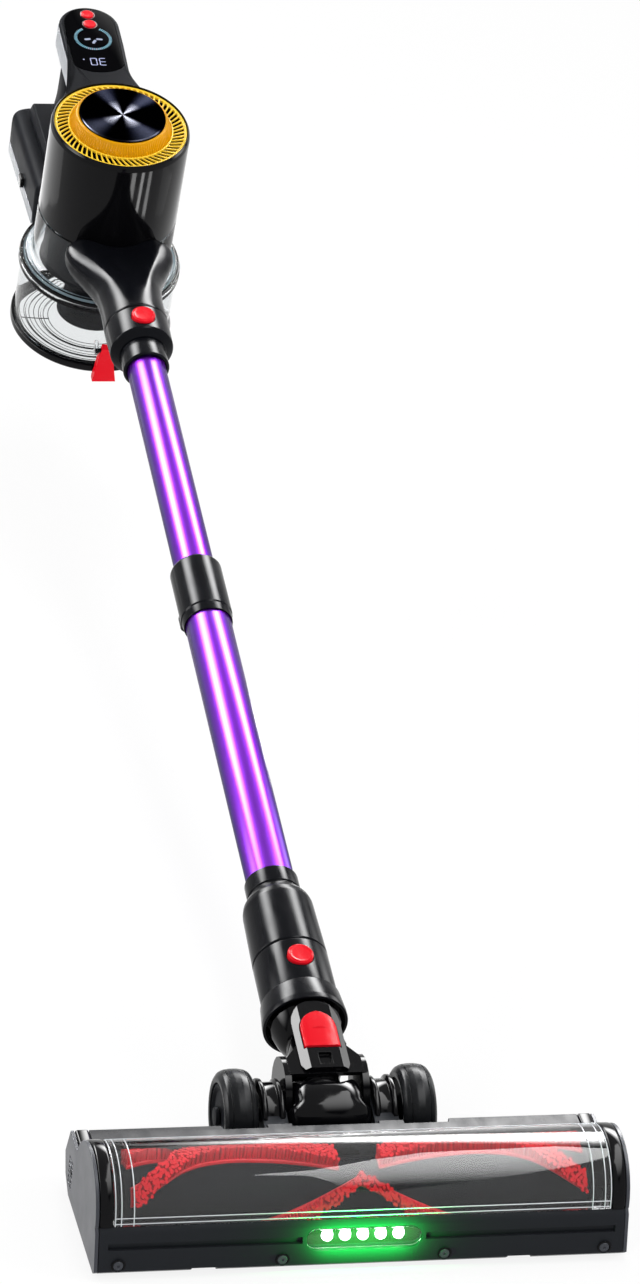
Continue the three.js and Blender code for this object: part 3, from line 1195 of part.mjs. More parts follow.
function displayPanel() {
  const holes = DISPLAY_BUTTONS.map(([, y]) => circle(0, y, DISPLAY_BUTTON_RADIUS + SEAT, COARSE));
  return prismZ(panelOutline(0), DISPLAY_TOP - PANEL_DEPTH + GAP, DISPLAY_TOP + 0.4, holes);
}

function displayButton(y) {
  const low = DISPLAY_TOP - PANEL_DEPTH - 1.7;
  const profile = [[0, low], [DISPLAY_BUTTON_RADIUS, low], [DISPLAY_BUTTON_RADIUS, DISPLAY_TOP + 1],
    [DISPLAY_BUTTON_RADIUS - 0.8, DISPLAY_TOP + 1.6], [0, DISPLAY_TOP + 1.8]];
  return moved(turned(profile, COARSE), 0, y, 0);
}

const LATCH_Y = 50; // battery latches, from the pack's front
const LATCH_DROP = 25;

// The pack: a rounded box with a tapering front, a rail on top and a well at each side for a latch.
function batteryPack() {
  const half = BATTERY_HEIGHT / 2;
  const sections = [[0, 4, 5], [2, 1.6, 3.2], [7, 0, 3], [BATTERY_LENGTH - 6, 0, 3], [BATTERY_LENGTH - 1.6, 1.4, 3],
    [BATTERY_LENGTH, 3.6, 4]];
  const rings = sections.map(([y, inset, power]) => roundedRing(BATTERY_HALF - inset, half - inset, half - inset,
    power + 3, 32, (x, z) => [x, y, z - half]));
  const rail = box(-8.6, 8.6, 8, BATTERY_LENGTH - 6, -4, 3);
  const well = box(BATTERY_HALF - 6, BATTERY_HALF + 5, LATCH_Y - 5, LATCH_Y + 5, -LATCH_DROP - 4, -LATCH_DROP + 4);
  return inBatteryFrame(cut(join(loft(rings), rail), well, mirrored(well)));
}

function batteryLatch() {
  const half = 4 - GAP;
  const nub = box(BATTERY_HALF - 3.6, BATTERY_HALF + 2.6, LATCH_Y - half - 1, LATCH_Y + half + 1,
    -LATCH_DROP - half, -LATCH_DROP + half);
  return inBatteryFrame(nub);
}

add(cleaner, 'handle_frame', handleFrame(), finishes.matteBlack);
add(cleaner, 'display_panel', displayPanel(), finishes.glossBlack);
for (const [name, y] of DISPLAY_BUTTONS) add(cleaner, name, displayButton(y), finishes.red);
add(cleaner, 'battery_pack', batteryPack(), finishes.matteBlack);
add(cleaner, 'battery_latch_right', batteryLatch(), finishes.matteBlack);
add(cleaner, 'battery_latch_left', mirrored(batteryLatch()), finishes.matteBlack);

export default vacuum;
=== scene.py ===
"""Cordless stick vacuum: the looks around the packed frame.

Every shape is worked out in millimetres in one of three local frames, which come from the frame's own joints:
the head's (Y = 0 at the wheel axle, Z = 0 on the floor), the wand's (Z along its centre line, -Y on its upper
side) and the cleaner's (Z along the cylinder, Y towards the handle).
"""

import json
import math

import bmesh
import bpy
import mathutils
import numpy as np
from bpy.props import FloatProperty, FloatVectorProperty, IntProperty, PointerProperty
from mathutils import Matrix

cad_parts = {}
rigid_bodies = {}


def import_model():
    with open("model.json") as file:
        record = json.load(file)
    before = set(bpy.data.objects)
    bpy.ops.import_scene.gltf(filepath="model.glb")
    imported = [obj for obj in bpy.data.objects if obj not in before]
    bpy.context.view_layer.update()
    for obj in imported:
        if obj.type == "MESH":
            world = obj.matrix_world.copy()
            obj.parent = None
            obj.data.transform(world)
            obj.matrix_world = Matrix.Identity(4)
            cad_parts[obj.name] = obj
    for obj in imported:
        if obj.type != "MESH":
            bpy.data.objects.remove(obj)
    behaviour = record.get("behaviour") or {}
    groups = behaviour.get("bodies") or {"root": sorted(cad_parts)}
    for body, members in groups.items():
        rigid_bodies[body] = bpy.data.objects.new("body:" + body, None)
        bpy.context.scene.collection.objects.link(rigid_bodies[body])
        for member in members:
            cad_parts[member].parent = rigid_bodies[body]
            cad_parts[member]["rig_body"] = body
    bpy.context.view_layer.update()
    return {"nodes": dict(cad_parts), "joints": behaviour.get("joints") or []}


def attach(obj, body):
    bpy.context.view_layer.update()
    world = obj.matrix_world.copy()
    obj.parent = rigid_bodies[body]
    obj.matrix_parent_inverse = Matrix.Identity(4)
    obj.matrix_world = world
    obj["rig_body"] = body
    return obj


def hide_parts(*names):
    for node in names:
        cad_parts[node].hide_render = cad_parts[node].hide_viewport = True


bl_info = {
    "name": "Cordless Stick Vacuum",
    "version": (1, 0, 0),
    "blender": (4, 5, 0),
    "location": "View3D > Sidebar > Vacuum",
    "description": "Builds the finished surfaces of a cordless stick vacuum around its frame",
    "category": "Add Mesh",
}

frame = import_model()

# ---------------------------------------------------------------- frames

MM = 0.001
JOINT = {joint["name"]: joint for joint in frame["joints"]}
SIDE = np.array([1.0, 0.0, 0.0])
ALONG = np.array(JOINT["wand_slide"]["axis"])
UPPER = np.array(JOINT["fan_spin"]["axis"])
AXLE = np.array(JOINT["head_tilt"]["pos_m"])


def foot_on_wand(point):
    """The point of the wand's centre line nearest to a given one."""
    start = np.array(JOINT["neck_swivel"]["pos_m"])
    return start + np.dot(np.array(point) - start, ALONG) * ALONG


def local_frame(origin, x, y, z):
    """A 4x4 matrix that takes millimetres in a local frame to metres in the part's frame."""
    matrix = np.eye(4)
    matrix[:3, 0], matrix[:3, 1], matrix[:3, 2] = np.array(x) * MM, np.array(y) * MM, np.array(z) * MM
    matrix[:3, 3] = origin
    return matrix


HEAD = local_frame((0, AXLE[1], 0), (1, 0, 0), (0, 1, 0), (0, 0, 1))
WAND = local_frame(foot_on_wand(AXLE), SIDE, -UPPER, ALONG)
CLEANER_ORIGIN = foot_on_wand(JOINT["fan_spin"]["pos_m"])
CLEANER = local_frame(CLEANER_ORIGIN, SIDE, ALONG, UPPER)


def tipped_frame(base, offset, degrees):
    """The frame moved by an offset in millimetres and then turned about its own X."""
    moved = base.copy()
    moved[:3, 3] = (base @ np.array([*offset, 1.0]))[:3]
    angle = math.radians(degrees)
    turn = np.eye(4)
    turn[1:3, 1:3] = [[math.cos(angle), -math.sin(angle)], [math.sin(angle), math.cos(angle)]]
    return moved @ turn


# ---------------------------------------------------------------- sizes and colours


def size(name, description, default):
    """A length in millimetres for the panel."""
    return FloatProperty(name=name, description=description, default=default, min=0.1, precision=2)


def tint(name, description, colour):
    """A colour for the panel, given as an sRGB hex value."""
    return FloatVectorProperty(
        name=name, description=description, subtype="COLOR", size=3, min=0, max=1, default=linear(colour)
    )


def linear(colour):
    """The linear red, green and blue of an sRGB hex value."""
    parts = [int(colour[i : i + 2], 16) / 255 for i in (1, 3, 5)]
    return tuple(v / 12.92 if v <= 0.04045 else ((v + 0.055) / 1.055) ** 2.4 for v in parts)


class VacuumColours(bpy.types.PropertyGroup):
    """The colours of the finishes."""

    gloss_black: tint("Gloss black", "Polished ABS of the cleaner, neck and end caps", "#08080a")
    satin_black: tint("Satin black", "Fine-textured ABS of the floor head and handle", "#141518")
    deck_grey: tint("Deck grey", "Moulded ABS of the elbow plate and sole", "#3a3c41")
    silver_grey: tint("Silver grey", "Painted strips on the handle and battery", "#8d9095")
    tube_purple: tint("Tube purple", "Anodised aluminium tubes", "#5c1c92")
    signal_red: tint("Signal red", "Buttons, tab and latch", "#dd1222")
    ring_yellow: tint("Ring yellow", "Moulded ABS of the slotted ring", "#f0c834")
    skirt_orange: tint("Skirt orange", "Tinted ABS of the ring's skirt", "#d29204")
    bristle_red: tint("Bristle red", "Nylon tufts of the brush roll", "#c80c1c")
    lamp_green: tint("Lamp green", "Light of the lamps", "#12e04a")
    display_teal: tint("Display teal", "Light of the dial on the display", "#1b6a80")


class VacuumSizes(bpy.types.PropertyGroup):
    """The sizes of the visible forms, in millimetres."""

    tube_lower: size("Lower tube radius", "Outside of the lower tube", 15.0)
    tube_upper: size("Upper tube radius", "Outside of the upper tube", 13.2)
    sleeve: size("Connector radius", "Outside of the connector sleeve", 23.2)
    button: size("Button radius", "Round push buttons on the wand", 8.0)
    wheel: size("Wheel radius", "Outside of a wheel", 28.0)
    body: size("Cylinder radius", "Outside of the motor housing", 48.5)
    body_top: size("Cylinder top", "Top of the motor housing above the wand's centre line", 75.0)
    ring: size("Ring radius", "Outside of the slotted yellow ring", 46.2)
    ring_top: size("Ring top", "Top of the slotted ring", 73.7)
    disc: size("Disc radius", "Outside of the brushed disc", 29.9)
    cup: size("Cup radius", "Outside of the wide part of the dust cup", 55.0)
    flange: size("Flange radius", "Outside of the cup's stepped flange", 57.0)
    cup_bottom: size("Cup depth", "Bottom of the dust cup below the wand's centre line", 95.0)
    chamber: size("Window radius", "Outside of the brush window", 33.0)
    core: size("Brush core radius", "Outside of the brush roll's core", 19.0)
    tufts: size("Tuft radius", "Outside of the brush roll's tufts", 28.4)
    slots: IntProperty(name="Slots", description="Air slots round the yellow ring", default=64, min=24, max=120)


# ---------------------------------------------------------------- surfaces


def fillet(points, radius, closed=False, steps=5):
    """A polyline with round corners: each corner becomes an arc tangent to both of its sides, no longer than
    half a side. radius is one value or one for each point."""
    points = np.array(points, float)
    radii = np.broadcast_to(np.array(radius, float), (len(points),))
    rounded = []
    for i, corner in enumerate(points):
        if radii[i] <= 0 or (not closed and i in (0, len(points) - 1)):
            rounded.append(corner[None])
            continue
        before = points[i - 1] - corner
        after = points[(i + 1) % len(points)] - corner
        a, b = np.linalg.norm(before), np.linalg.norm(after)
        before, after = before / a, after / b
        half = math.acos(float(np.clip(before @ after, -1, 1))) / 2
        if half > math.radians(88) or half < math.radians(2):
            rounded.append(corner[None])
            continue
        reach = min(radii[i] / math.tan(half), a * 0.49, b * 0.49)
        arc_radius = reach * math.tan(half)
        bisector = (before + after) / np.linalg.norm(before + after)
        centre = corner + bisector * reach / math.cos(half)
        start = corner + before * reach - centre
        end = corner + after * reach - centre
        turn = math.pi - 2 * half
        share = np.linspace(0, 1, steps + 1)[:, None]
        blend = (np.sin((1 - share) * turn) * start + np.sin(share * turn) * end) / math.sin(turn)
        rounded.append(centre + blend * (arc_radius / np.maximum(np.linalg.norm(blend, axis=1), 1e-9))[:, None])
    return np.concatenate(rounded)


def arc(cx, cy, radius, start, end, steps):
    """Points on a circle's arc, angles in degrees."""
    angle = np.radians(np.linspace(start, end, steps + 1))
    return np.stack([cx + radius * np.cos(angle), cy + radius * np.sin(angle)], -1)


def round_box(cx, cy, half_x, half_y, radius, steps=6):
    """A rectangle's outline with round corners, anticlockwise."""
    corners = [(1, 1, 0), (-1, 1, 90), (-1, -1, 180), (1, -1, 270)]
    return np.concatenate([
        arc(cx + sx * (half_x - radius), cy + sy * (half_y - radius), radius, a, a + 90, steps)
        for sx, sy, a in corners
    ])


def revolve(profile, facets, closed=False):
    """A surface of revolution: the point at (turn, i) is the profile's i-th radius swung round Z at its height."""
    profile = np.array(profile, float)
    angle = np.radians(360.0 * np.arange(facets) / facets)
    r, z = profile[:, 0][:, None], profile[:, 1][:, None]
    grid = np.stack([r * np.cos(angle), r * np.sin(angle), z + 0 * angle], -1)
    return skin(grid, wrap_rows=closed)


def hoop(inner, outer, start, end, rounds, facets, steps=2):
    """A ring of rectangular section between two radii and two heights, with round corners."""
    section = fillet([[inner, start], [outer, start], [outer, end], [inner, end]], rounds, True, steps)
    return revolve(section, facets, closed=True)


def cross_pin(radius, half, y, z):
    """A pin across the part, along X, that reaches as far to both sides."""
    return shifted(laid(revolve([[0, -half], [radius, -half], [radius, half], [0, half]], 32), "x"), 0, y, z)


def skin(grid, wrap_rows=False, caps=False):
    """Vertices and faces of a grid of points whose rows are closed rings. If asked, the last ring is joined to the
    first, or flat caps close both."""
    rows, columns = grid.shape[:2]
    i = np.arange(rows if wrap_rows else rows - 1)[:, None]
    j = np.arange(columns)[None]
    k, m = (i + 1) % rows, (j + 1) % columns
    quads = np.stack([i * columns + j, i * columns + m, k * columns + m, k * columns + j], -1).reshape(-1, 4)
    faces = quads.tolist()
    if caps:
        faces.append(list(range(columns))[::-1])
        faces.append(list(range((rows - 1) * columns, rows * columns)))
    return grid.reshape(-1, 3), faces


def outline_normals(outline):
    """The unit vector out of an anticlockwise outline at each of its points, lengthened at corners."""
    before = outline - np.roll(outline, 1, 0)
    after = np.roll(outline, -1, 0) - outline
    before /= np.maximum(np.linalg.norm(before, axis=1), 1e-9)[:, None]
    after /= np.maximum(np.linalg.norm(after, axis=1), 1e-9)[:, None]
    normal = np.stack([before[:, 1] + after[:, 1], -before[:, 0] - after[:, 0]], -1)
    normal /= np.maximum(np.linalg.norm(normal, axis=1), 1e-9)[:, None]
    spread = np.clip(np.sum(normal * np.stack([after[:, 1], -after[:, 0]], -1), 1), 0.5, 1)
    return normal / spread[:, None]


def anticlockwise(outline):
    """The outline in anticlockwise order."""
    outline = np.array(outline, float)
    x, y = outline.T
    area = np.sum(x * np.roll(y, -1) - np.roll(x, -1) * y)
    return outline if area > 0 else outline[::-1]


FINISH = {}  # the part's materials by name, from make_finishes
FINE, MEDIUM, COARSE = 192, 144, 120  # facets of the wide cylinders, of what stands inside them and of the tubes
AXES = {"x": (1, 2, 0), "y": (2, 0, 1), "z": (0, 1, 2)}  # where an outline's two axes and its depth go


def extrude(outline, low, high, edge, axis="z", steps=3, hole=None):
    """An outline carried along an axis, with quarter-round edges: ring k of an edge is inset by
    edge * (1 - sin) and raised by edge * (1 - cos) of its share of a right angle. A hole has as many points as
    the outline, and its wall closes the solid like a ring's."""
    outline = anticlockwise(outline)
    out = outline_normals(outline)
    turn = np.linspace(0, math.pi / 2, steps + 1)
    lows = [(edge * (1 - math.sin(a)), low + edge * (1 - math.cos(a))) for a in turn]
    highs = [(edge * (1 - math.sin(a)), high - edge * (1 - math.cos(a))) for a in turn[::-1]]
    rings = [np.column_stack([outline - out * inset, np.full(len(outline), depth)]) for inset, depth in lows + highs]
    if hole is not None:
        inner = anticlockwise(hole)
        inward = outline_normals(inner)
        for inset, depth in (lows + highs)[::-1]:
            rings.append(np.column_stack([inner + inward * inset, np.full(len(inner), depth)]))
    grid = np.array(rings)
    place = np.empty_like(grid)
    for source, target in enumerate(AXES[axis]):
        place[..., target] = grid[..., source]
    return skin(place, wrap_rows=hole is not None, caps=hole is None)


def super_ring(half_x, up, down, power, steps):
    """A superellipse: x = half * sign(cos) |cos|^(2/power), and y the same with sin, taller above than below."""
    angle = 2 * math.pi * np.arange(steps) / steps
    c, s = np.cos(angle), np.sin(angle)
    x = half_x * np.sign(c) * np.abs(c) ** (2 / power)
    y = np.where(s > 0, up, down) * np.sign(s) * np.abs(s) ** (2 / power)
    return np.stack([x, y], -1)


def eased(table, where):
    """Smooth values between a table's stations: each column follows a monotone cubic through its knots."""
    table = np.array(table, float)
    knots, values = table[:, 0], table[:, 1:]
    step = np.diff(knots)[:, None]
    slope = np.diff(values, axis=0) / step
    tangent = np.zeros_like(values)
    tangent[0], tangent[-1] = slope[0], slope[-1]
    same = slope[:-1] * slope[1:] > 0
    mean = 2 * slope[:-1] * slope[1:] / np.where(same, slope[:-1] + slope[1:], 1)
    tangent[1:-1] = np.where(same, mean, 0)
    where = np.atleast_1d(np.array(where, float))
    cell = np.clip(np.searchsorted(knots, where) - 1, 0, len(knots) - 2)
    h = (knots[cell + 1] - knots[cell])[:, None]
    t = ((where - knots[cell])[:, None]) / h
    return (
        values[cell] * (2 * t**3 - 3 * t**2 + 1)
        + tangent[cell] * h * (t**3 - 2 * t**2 + t)
        + values[cell + 1] * (-2 * t**3 + 3 * t**2)
        + tangent[cell + 1] * h * (t**3 - t**2)
    )


def turned_about_z(part, degrees):
    """A part swung round Z."""
    verts, faces = part
    a = math.radians(degrees)
    turn = np.array([[math.cos(a), -math.sin(a), 0], [math.sin(a), math.cos(a), 0], [0, 0, 1]])
    return verts @ turn.T, faces


def shifted(part, x=0.0, y=0.0, z=0.0):
    """A part moved within its frame."""
    return part[0] + np.array([x, y, z]), part[1]


def laid(part, axis):
    """A part made along Z, laid along another axis: X, Y, or its upper side, -Y."""
    verts, faces = part
    order = {"x": [2, 0, 1], "y": [1, 2, 0]}
    if axis == "-y":
        return verts[:, [0, 2, 1]] * np.array([1, -1, 1]), faces
    return verts[:, order[axis]], faces


def both_sides(part):
    """A part and its mirror image across X = 0."""
    verts, faces = part
    return [part, (verts * np.array([-1, 1, 1]), [face[::-1] for face in faces])]


def linked(name, data):
    """A new object of the scene with its data."""
    obj = bpy.data.objects.new(name, data)
    bpy.context.scene.collection.objects.link(obj)
    return obj


def build(name, parts, place, finish, body, replaces=(), sharp=32.0):
    """Parts in a local frame become one finished object: doubles merged, faces turned out, smooth but for
    edges sharper than an angle, riding on its body."""
    verts, faces, offset = [], [], 0
    for part_verts, part_faces in parts:
        verts.append(part_verts)
        faces.extend([[v + offset for v in face] for face in part_faces])
        offset += len(part_verts)
    verts = np.concatenate(verts)
    world = verts @ place[:3, :3].T + place[:3, 3]
    mesh = bpy.data.meshes.new(name)
    mesh.from_pydata(world.tolist(), [], faces)
    cleaned = bmesh.new()
    cleaned.from_mesh(mesh)
    bmesh.ops.remove_doubles(cleaned, verts=cleaned.verts, dist=2e-6)
    bmesh.ops.dissolve_degenerate(cleaned, edges=cleaned.edges, dist=1e-7)
    bmesh.ops.recalc_face_normals(cleaned, faces=cleaned.faces)
    cleaned.to_mesh(mesh)
    cleaned.free()
    return finished(name, mesh, finish, body, replaces, sharp)


def finished(name, mesh, finish, body, replaces, sharp):
    """Links the mesh as an object with its material, body and slot."""
    mesh.polygons.foreach_set("use_smooth", np.ones(len(mesh.polygons), bool))
    mesh.set_sharp_from_angle(angle=math.radians(sharp))
    obj = linked(name, mesh)
    mesh.materials.append(FINISH[finish])
    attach(obj, body)
    if replaces:
        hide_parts(*replaces)
    return obj


REFINED_SHARP = 34.0  # degrees: a refined shape is smooth over edges blunter than this
REFINED_CORNER = 28.0  # degrees: edges sharper than this get a bevel


def refined(node, finish, edge):
    """A CAD node's own shape with its corners rounded: a merged copy, with flat faces joined and a bevel on
    each edge sharper than an angle."""
    source = frame["nodes"][node]
    mesh = source.data.copy()
    mesh.name = f"{node}_skin"
    mesh.materials.clear()
    merged = bmesh.new()
    merged.from_mesh(mesh)
    bmesh.ops.remove_doubles(merged, verts=merged.verts, dist=2e-6)
    bmesh.ops.dissolve_limit(
        merged, angle_limit=math.radians(1.5), verts=merged.verts, edges=merged.edges, delimit={"NORMAL"}
    )
    merged.to_mesh(mesh)
    merged.free()
    if mesh.attributes.get("custom_normal"):
        mesh.attributes.remove(mesh.attributes["custom_normal"])
    obj = finished(f"{node}_skin", mesh, finish, source["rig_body"], (node,), REFINED_SHARP)
    bevel = obj.modifiers.new("rounded edges", "BEVEL")
    bevel.width = edge * MM
    bevel.segments = 2
    bevel.limit_method = "ANGLE"
    bevel.angle_limit = math.radians(REFINED_CORNER)
    bevel.use_clamp_overlap = True
    bevel.harden_normals = True
    return obj


def dress(node, finish):
    """A CAD node whose shape is right gets its finish."""
    data = frame["nodes"][node].data
    data.materials.clear()
    data.materials.append(FINISH[finish])


# ---------------------------------------------------------------- finishes


def add(tree, kind, settings=None, inputs=None):
    """Adds a node with its settings; each input is a value or another node's output."""
    made = tree.nodes.new(kind)
    for key, value in (settings or {}).items():
        setattr(made, key, value)
    for key, value in (inputs or {}).items():
        socket = made.inputs[key]
        if isinstance(value, bpy.types.NodeSocket):
            tree.links.new(value, socket)
        else:
            socket.default_value = value
    return made


def new_material(name):
    """An empty node material and its tree and output."""
    material = bpy.data.materials.new(name)
    material.use_nodes = True
    material.node_tree.nodes.clear()
    return material, material.node_tree, add(material.node_tree, "ShaderNodeOutputMaterial")


def principled(material, output, inputs):
    """The material made up of one principled shader with these inputs."""
    shader = add(material.node_tree, "ShaderNodeBsdfPrincipled", None, inputs)
    material.node_tree.links.new(shader.outputs[0], output.inputs[0])
    return material


def rgba(colour):
    """A linear colour with full cover; hex values are turned to linear first."""
    return (*(linear(colour) if isinstance(colour, str) else tuple(colour)), 1.0)


def noise(tree, grain_mm, detail=2.0, stretch=(1, 1, 1), turn=(0, 0, 0)):
    """Noise on the object's own metres with grains of a real size, stretched along a turned axis."""
    place = add(tree, "ShaderNodeTexCoord").outputs["Object"]
    mapped = add(tree, "ShaderNodeMapping", None, {"Vector": place, "Scale": stretch, "Rotation": turn})
    return add(
        tree, "ShaderNodeTexNoise", None,
        {"Vector": mapped.outputs[0], "Scale": 1 / (grain_mm * MM), "Detail": detail, "Roughness": 0.55},
    ).outputs["Fac"]


def ranged(tree, value, low, high):
    """The middle of a noise, 0.3 to 0.7, spread between two ends and clamped."""
    return add(tree, "ShaderNodeMapRange", None, {
        "Value": value, "From Min": 0.3, "From Max": 0.7, "To Min": low, "To Max": high,
    }).outputs["Result"]


def shaded(tree, colour, share, factor):
    """A colour that darkens by a share where the factor is high."""
    dark = tuple(c * (1 - share) for c in colour[:3]) + (1.0,)
    return add(tree, "ShaderNodeMix", {"data_type": "RGBA"}, {0: factor, 6: colour, 7: dark}).outputs[2]


def moulded_abs(name, colour, roughness, grain_mm=0.5, depth_mm=0.02, wear=0.12, ior=1.4):
    """Moulded ABS with an eroded-tool texture: a fine even grain that breaks up its soft highlight, and
    patches a little shinier from handling."""
    material, tree, output = new_material(name)
    colour = rgba(colour)
    grain = noise(tree, grain_mm)
    patches = noise(tree, 26, 3)
    bump = add(tree, "ShaderNodeBump", None, {"Strength": 0.35, "Distance": depth_mm * MM, "Height": grain})
    return principled(material, output, {
        "Base Color": shaded(tree, colour, wear, patches),
        "Roughness": ranged(tree, patches, roughness * 0.85, roughness * 1.12),
        "IOR": ior,
        "Normal": bump.outputs[0],
    })


def polished_abs(name, colour, roughness=0.06, wave_mm=14, ior=1.45):
    """High-gloss ABS from a polished tool: mirror-like, with the slight waviness of a thick moulding and faint
    wiping marks in the gloss."""
    material, tree, output = new_material(name)
    wave = noise(tree, wave_mm, 1)
    marks = noise(tree, 9, 4, (1, 0.35, 1))
    bump = add(tree, "ShaderNodeBump", None, {"Strength": 0.05, "Distance": 0.25 * MM, "Height": wave})
    return principled(material, output, {
        "Base Color": rgba(colour),
        "Roughness": ranged(tree, marks, roughness * 0.7, roughness * 1.5),
        "IOR": ior,
        "Normal": bump.outputs[0],
    })


def anodised_aluminium(name, colour, lengthwise_turn):
    """Dyed anodised aluminium tube, drawn and brushed along its length: a satin metal whose fine lines stretch
    the highlight from end to end, under the clear seal of the anodising."""
    material, tree, output = new_material(name)
    colour = rgba(colour)
    lines = noise(tree, 0.45, 3, (1, 0.012, 1), lengthwise_turn)
    cloud = noise(tree, 60, 2)
    bump = add(tree, "ShaderNodeBump", None, {"Strength": 0.16, "Distance": 0.03 * MM, "Height": lines})
    return principled(material, output, {
        "Base Color": shaded(tree, colour, 0.18, cloud),
        "Metallic": 1.0,
        "Roughness": ranged(tree, lines, 0.29, 0.37),
        "Normal": bump.outputs[0],
        "Specular Tint": rgba("#2e0a58"),
        "Coat Weight": 0.4,
        "Coat Roughness": 0.2,
    })


PAINTED_FANS = [  # where each painted reflection fan of the turned disc starts, is brightest and ends, as shares of a turn from the left
    (0.02, 0.086, 0.172), (0.233, 0.356, 0.406), (0.558, 0.614, 0.683), (0.744, 0.812, 0.864),
]


def ranged_grey(tree, value, low, high):
    """A factor brought to a range of its own, as a grey."""
    level = ranged(tree, value, low, high)
    return add(tree, "ShaderNodeCombineXYZ", None, {0: level, 1: level, 2: level}).outputs[0]


def machined_disc_painted_fans(name, centre):
    """Turned dark aluminium: hair-thin circles round the disc's centre, in four fans that are brightest at the
    centre and nearly black between them. Each fan rises and falls with the angle round the disc."""
    material, tree, output = new_material(name)
    place = add(tree, "ShaderNodeTexCoord").outputs["Object"]
    local = add(tree, "ShaderNodeVectorMath", {"operation": "SUBTRACT"}, {0: place, 1: tuple(centre)}).outputs[0]
    length = add(tree, "ShaderNodeVectorMath", {"operation": "LENGTH"}, {0: local}).outputs["Value"]
    across, ahead = (
        add(tree, "ShaderNodeVectorMath", {"operation": "DOT_PRODUCT"}, {0: local, 1: tuple(axis)}).outputs["Value"]
        for axis in (SIDE, ALONG)
    )
    angle = add(tree, "ShaderNodeMath", {"operation": "ARCTAN2"}, {0: ahead, 1: across}).outputs[0]
    turn = add(tree, "ShaderNodeMath", {"operation": "MULTIPLY_ADD"}, {0: angle, 1: 1 / (2 * math.pi), 2: 0.5})
    # painted reflection: a fixed pattern of bright fans round the disc, in the base colour
    painted_fans = add(tree, "ShaderNodeValToRGB", None, {"Fac": turn.outputs[0]})
    ramp = painted_fans.color_ramp
    ramp.interpolation = "EASE"
    stops = [(share, 0.0 if k != 1 else 1.0) for fan in PAINTED_FANS for k, share in enumerate(fan)]
    for k, (share, _) in enumerate(stops):
        stop = ramp.elements[k] if k < 2 else ramp.elements.new(share)
        stop.position = share
    for stop, (_, level) in zip(ramp.elements, stops):
        stop.color = (level, level, level, 1)
    circle = add(
        tree, "ShaderNodeTexNoise", {"noise_dimensions": "1D"}, {"W": length, "Scale": 1 / (0.35 * MM), "Detail": 3}
    ).outputs["Fac"]
    # painted highlight: the fans grow brighter towards the disc's centre
    inward = add(tree, "ShaderNodeMapRange", None, {0: length, 1: 0.0, 2: 16 * MM, 3: 1.0, 4: 0.0}).outputs[0]
    bright = add(tree, "ShaderNodeMix", {"data_type": "RGBA"},
                 {0: inward, 6: rgba("#3c3e48"), 7: rgba("#c8cad8")}).outputs[2]
    colour = add(tree, "ShaderNodeMix", {"data_type": "RGBA"},
                 {0: painted_fans.outputs[0], 6: rgba("#060608"), 7: bright}).outputs[2]
    lined = add(tree, "ShaderNodeMix", {"data_type": "RGBA", "blend_type": "MULTIPLY"},
                {0: 1.0, 6: colour, 7: ranged_grey(tree, circle, 0.6, 1.1)}).outputs[2]
    bump = add(tree, "ShaderNodeBump", None, {"Strength": 0.06, "Distance": 0.03 * MM, "Height": circle})
    return principled(material, output, {
        "Base Color": lined, "Metallic": 1.0, "Roughness": 0.26, "Normal": bump.outputs[0],
        "Specular Tint": rgba("#2c2c34"),
    })


def brushed_steel(name, colour="#9a9ca1", roughness=0.32):
    """Turned steel of pins and motor cans: bright, with a fine grain."""
    material, tree, output = new_material(name)
    grain = noise(tree, 0.3, 3, (0.05, 1, 1))
    return principled(material, output, {
        "Base Color": shaded(tree, rgba(colour), 0.2, grain),
        "Metallic": 1.0,
        "Roughness": ranged(tree, grain, roughness * 0.8, roughness * 1.2),
    })


def clear_polycarbonate(name, colour="#f4f7f7", roughness=0.02, ior=1.3):
    """Clear moulded polycarbonate: see-through with sharp reflections, and lamps shine through it onto what it
    covers."""
    material, tree, output = new_material(name)
    wave = noise(tree, 22, 1)
    bump = add(tree, "ShaderNodeBump", None, {"Strength": 0.02, "Distance": 0.2 * MM, "Height": wave})
    glass = add(tree, "ShaderNodeBsdfPrincipled", None, {
        "Base Color": rgba(colour), "Roughness": roughness, "IOR": ior, "Normal": bump.outputs[0],
        "Transmission Weight": 1.0,
    })
    lamp_light = add(tree, "ShaderNodeBsdfTransparent", None, {"Color": rgba(colour)})
    shadow = add(tree, "ShaderNodeLightPath").outputs["Is Shadow Ray"]
    mixed = add(tree, "ShaderNodeMixShader", None, {0: shadow, 1: glass.outputs[0], 2: lamp_light.outputs[0]})
    tree.links.new(mixed.outputs[0], output.inputs[0])
    return material


def tyre_rubber(name, colour="#17181a", roughness=0.5):
    """Moulded rubber: nearly matt, with a faint bloom and a fine grain."""
    material, tree, output = new_material(name)
    grain = noise(tree, 0.8, 3)
    bump = add(tree, "ShaderNodeBump", None, {"Strength": 0.3, "Distance": 0.04 * MM, "Height": grain})
    return principled(material, output, {
        "Base Color": shaded(tree, rgba(colour), 0.25, noise(tree, 12)),
        "Roughness": ranged(tree, noise(tree, 15), roughness * 0.85, roughness * 1.15),
        "IOR": 1.1,
        "Normal": bump.outputs[0],
    })


def nylon_tuft(name, colour):
    """Dyed nylon filament: fine lines, lighter and darker from tuft to tuft, with a soft sheen."""
    material, tree, output = new_material(name)
    lines = noise(tree, 0.7, 3, (1, 0.3, 0.3))
    return principled(material, output, {
        "Base Color": shaded(tree, rgba(colour), 0.25, lines),
        "Roughness": 0.8,
        "IOR": 1.12,
    })


def glowing(name, colour, strength):
    """A lit surface: an LED or a display segment."""
    material, tree, output = new_material(name)
    return principled(material, output, {
        "Base Color": rgba(colour), "Roughness": 0.3, "Emission Color": rgba(colour), "Emission Strength": strength,
    })


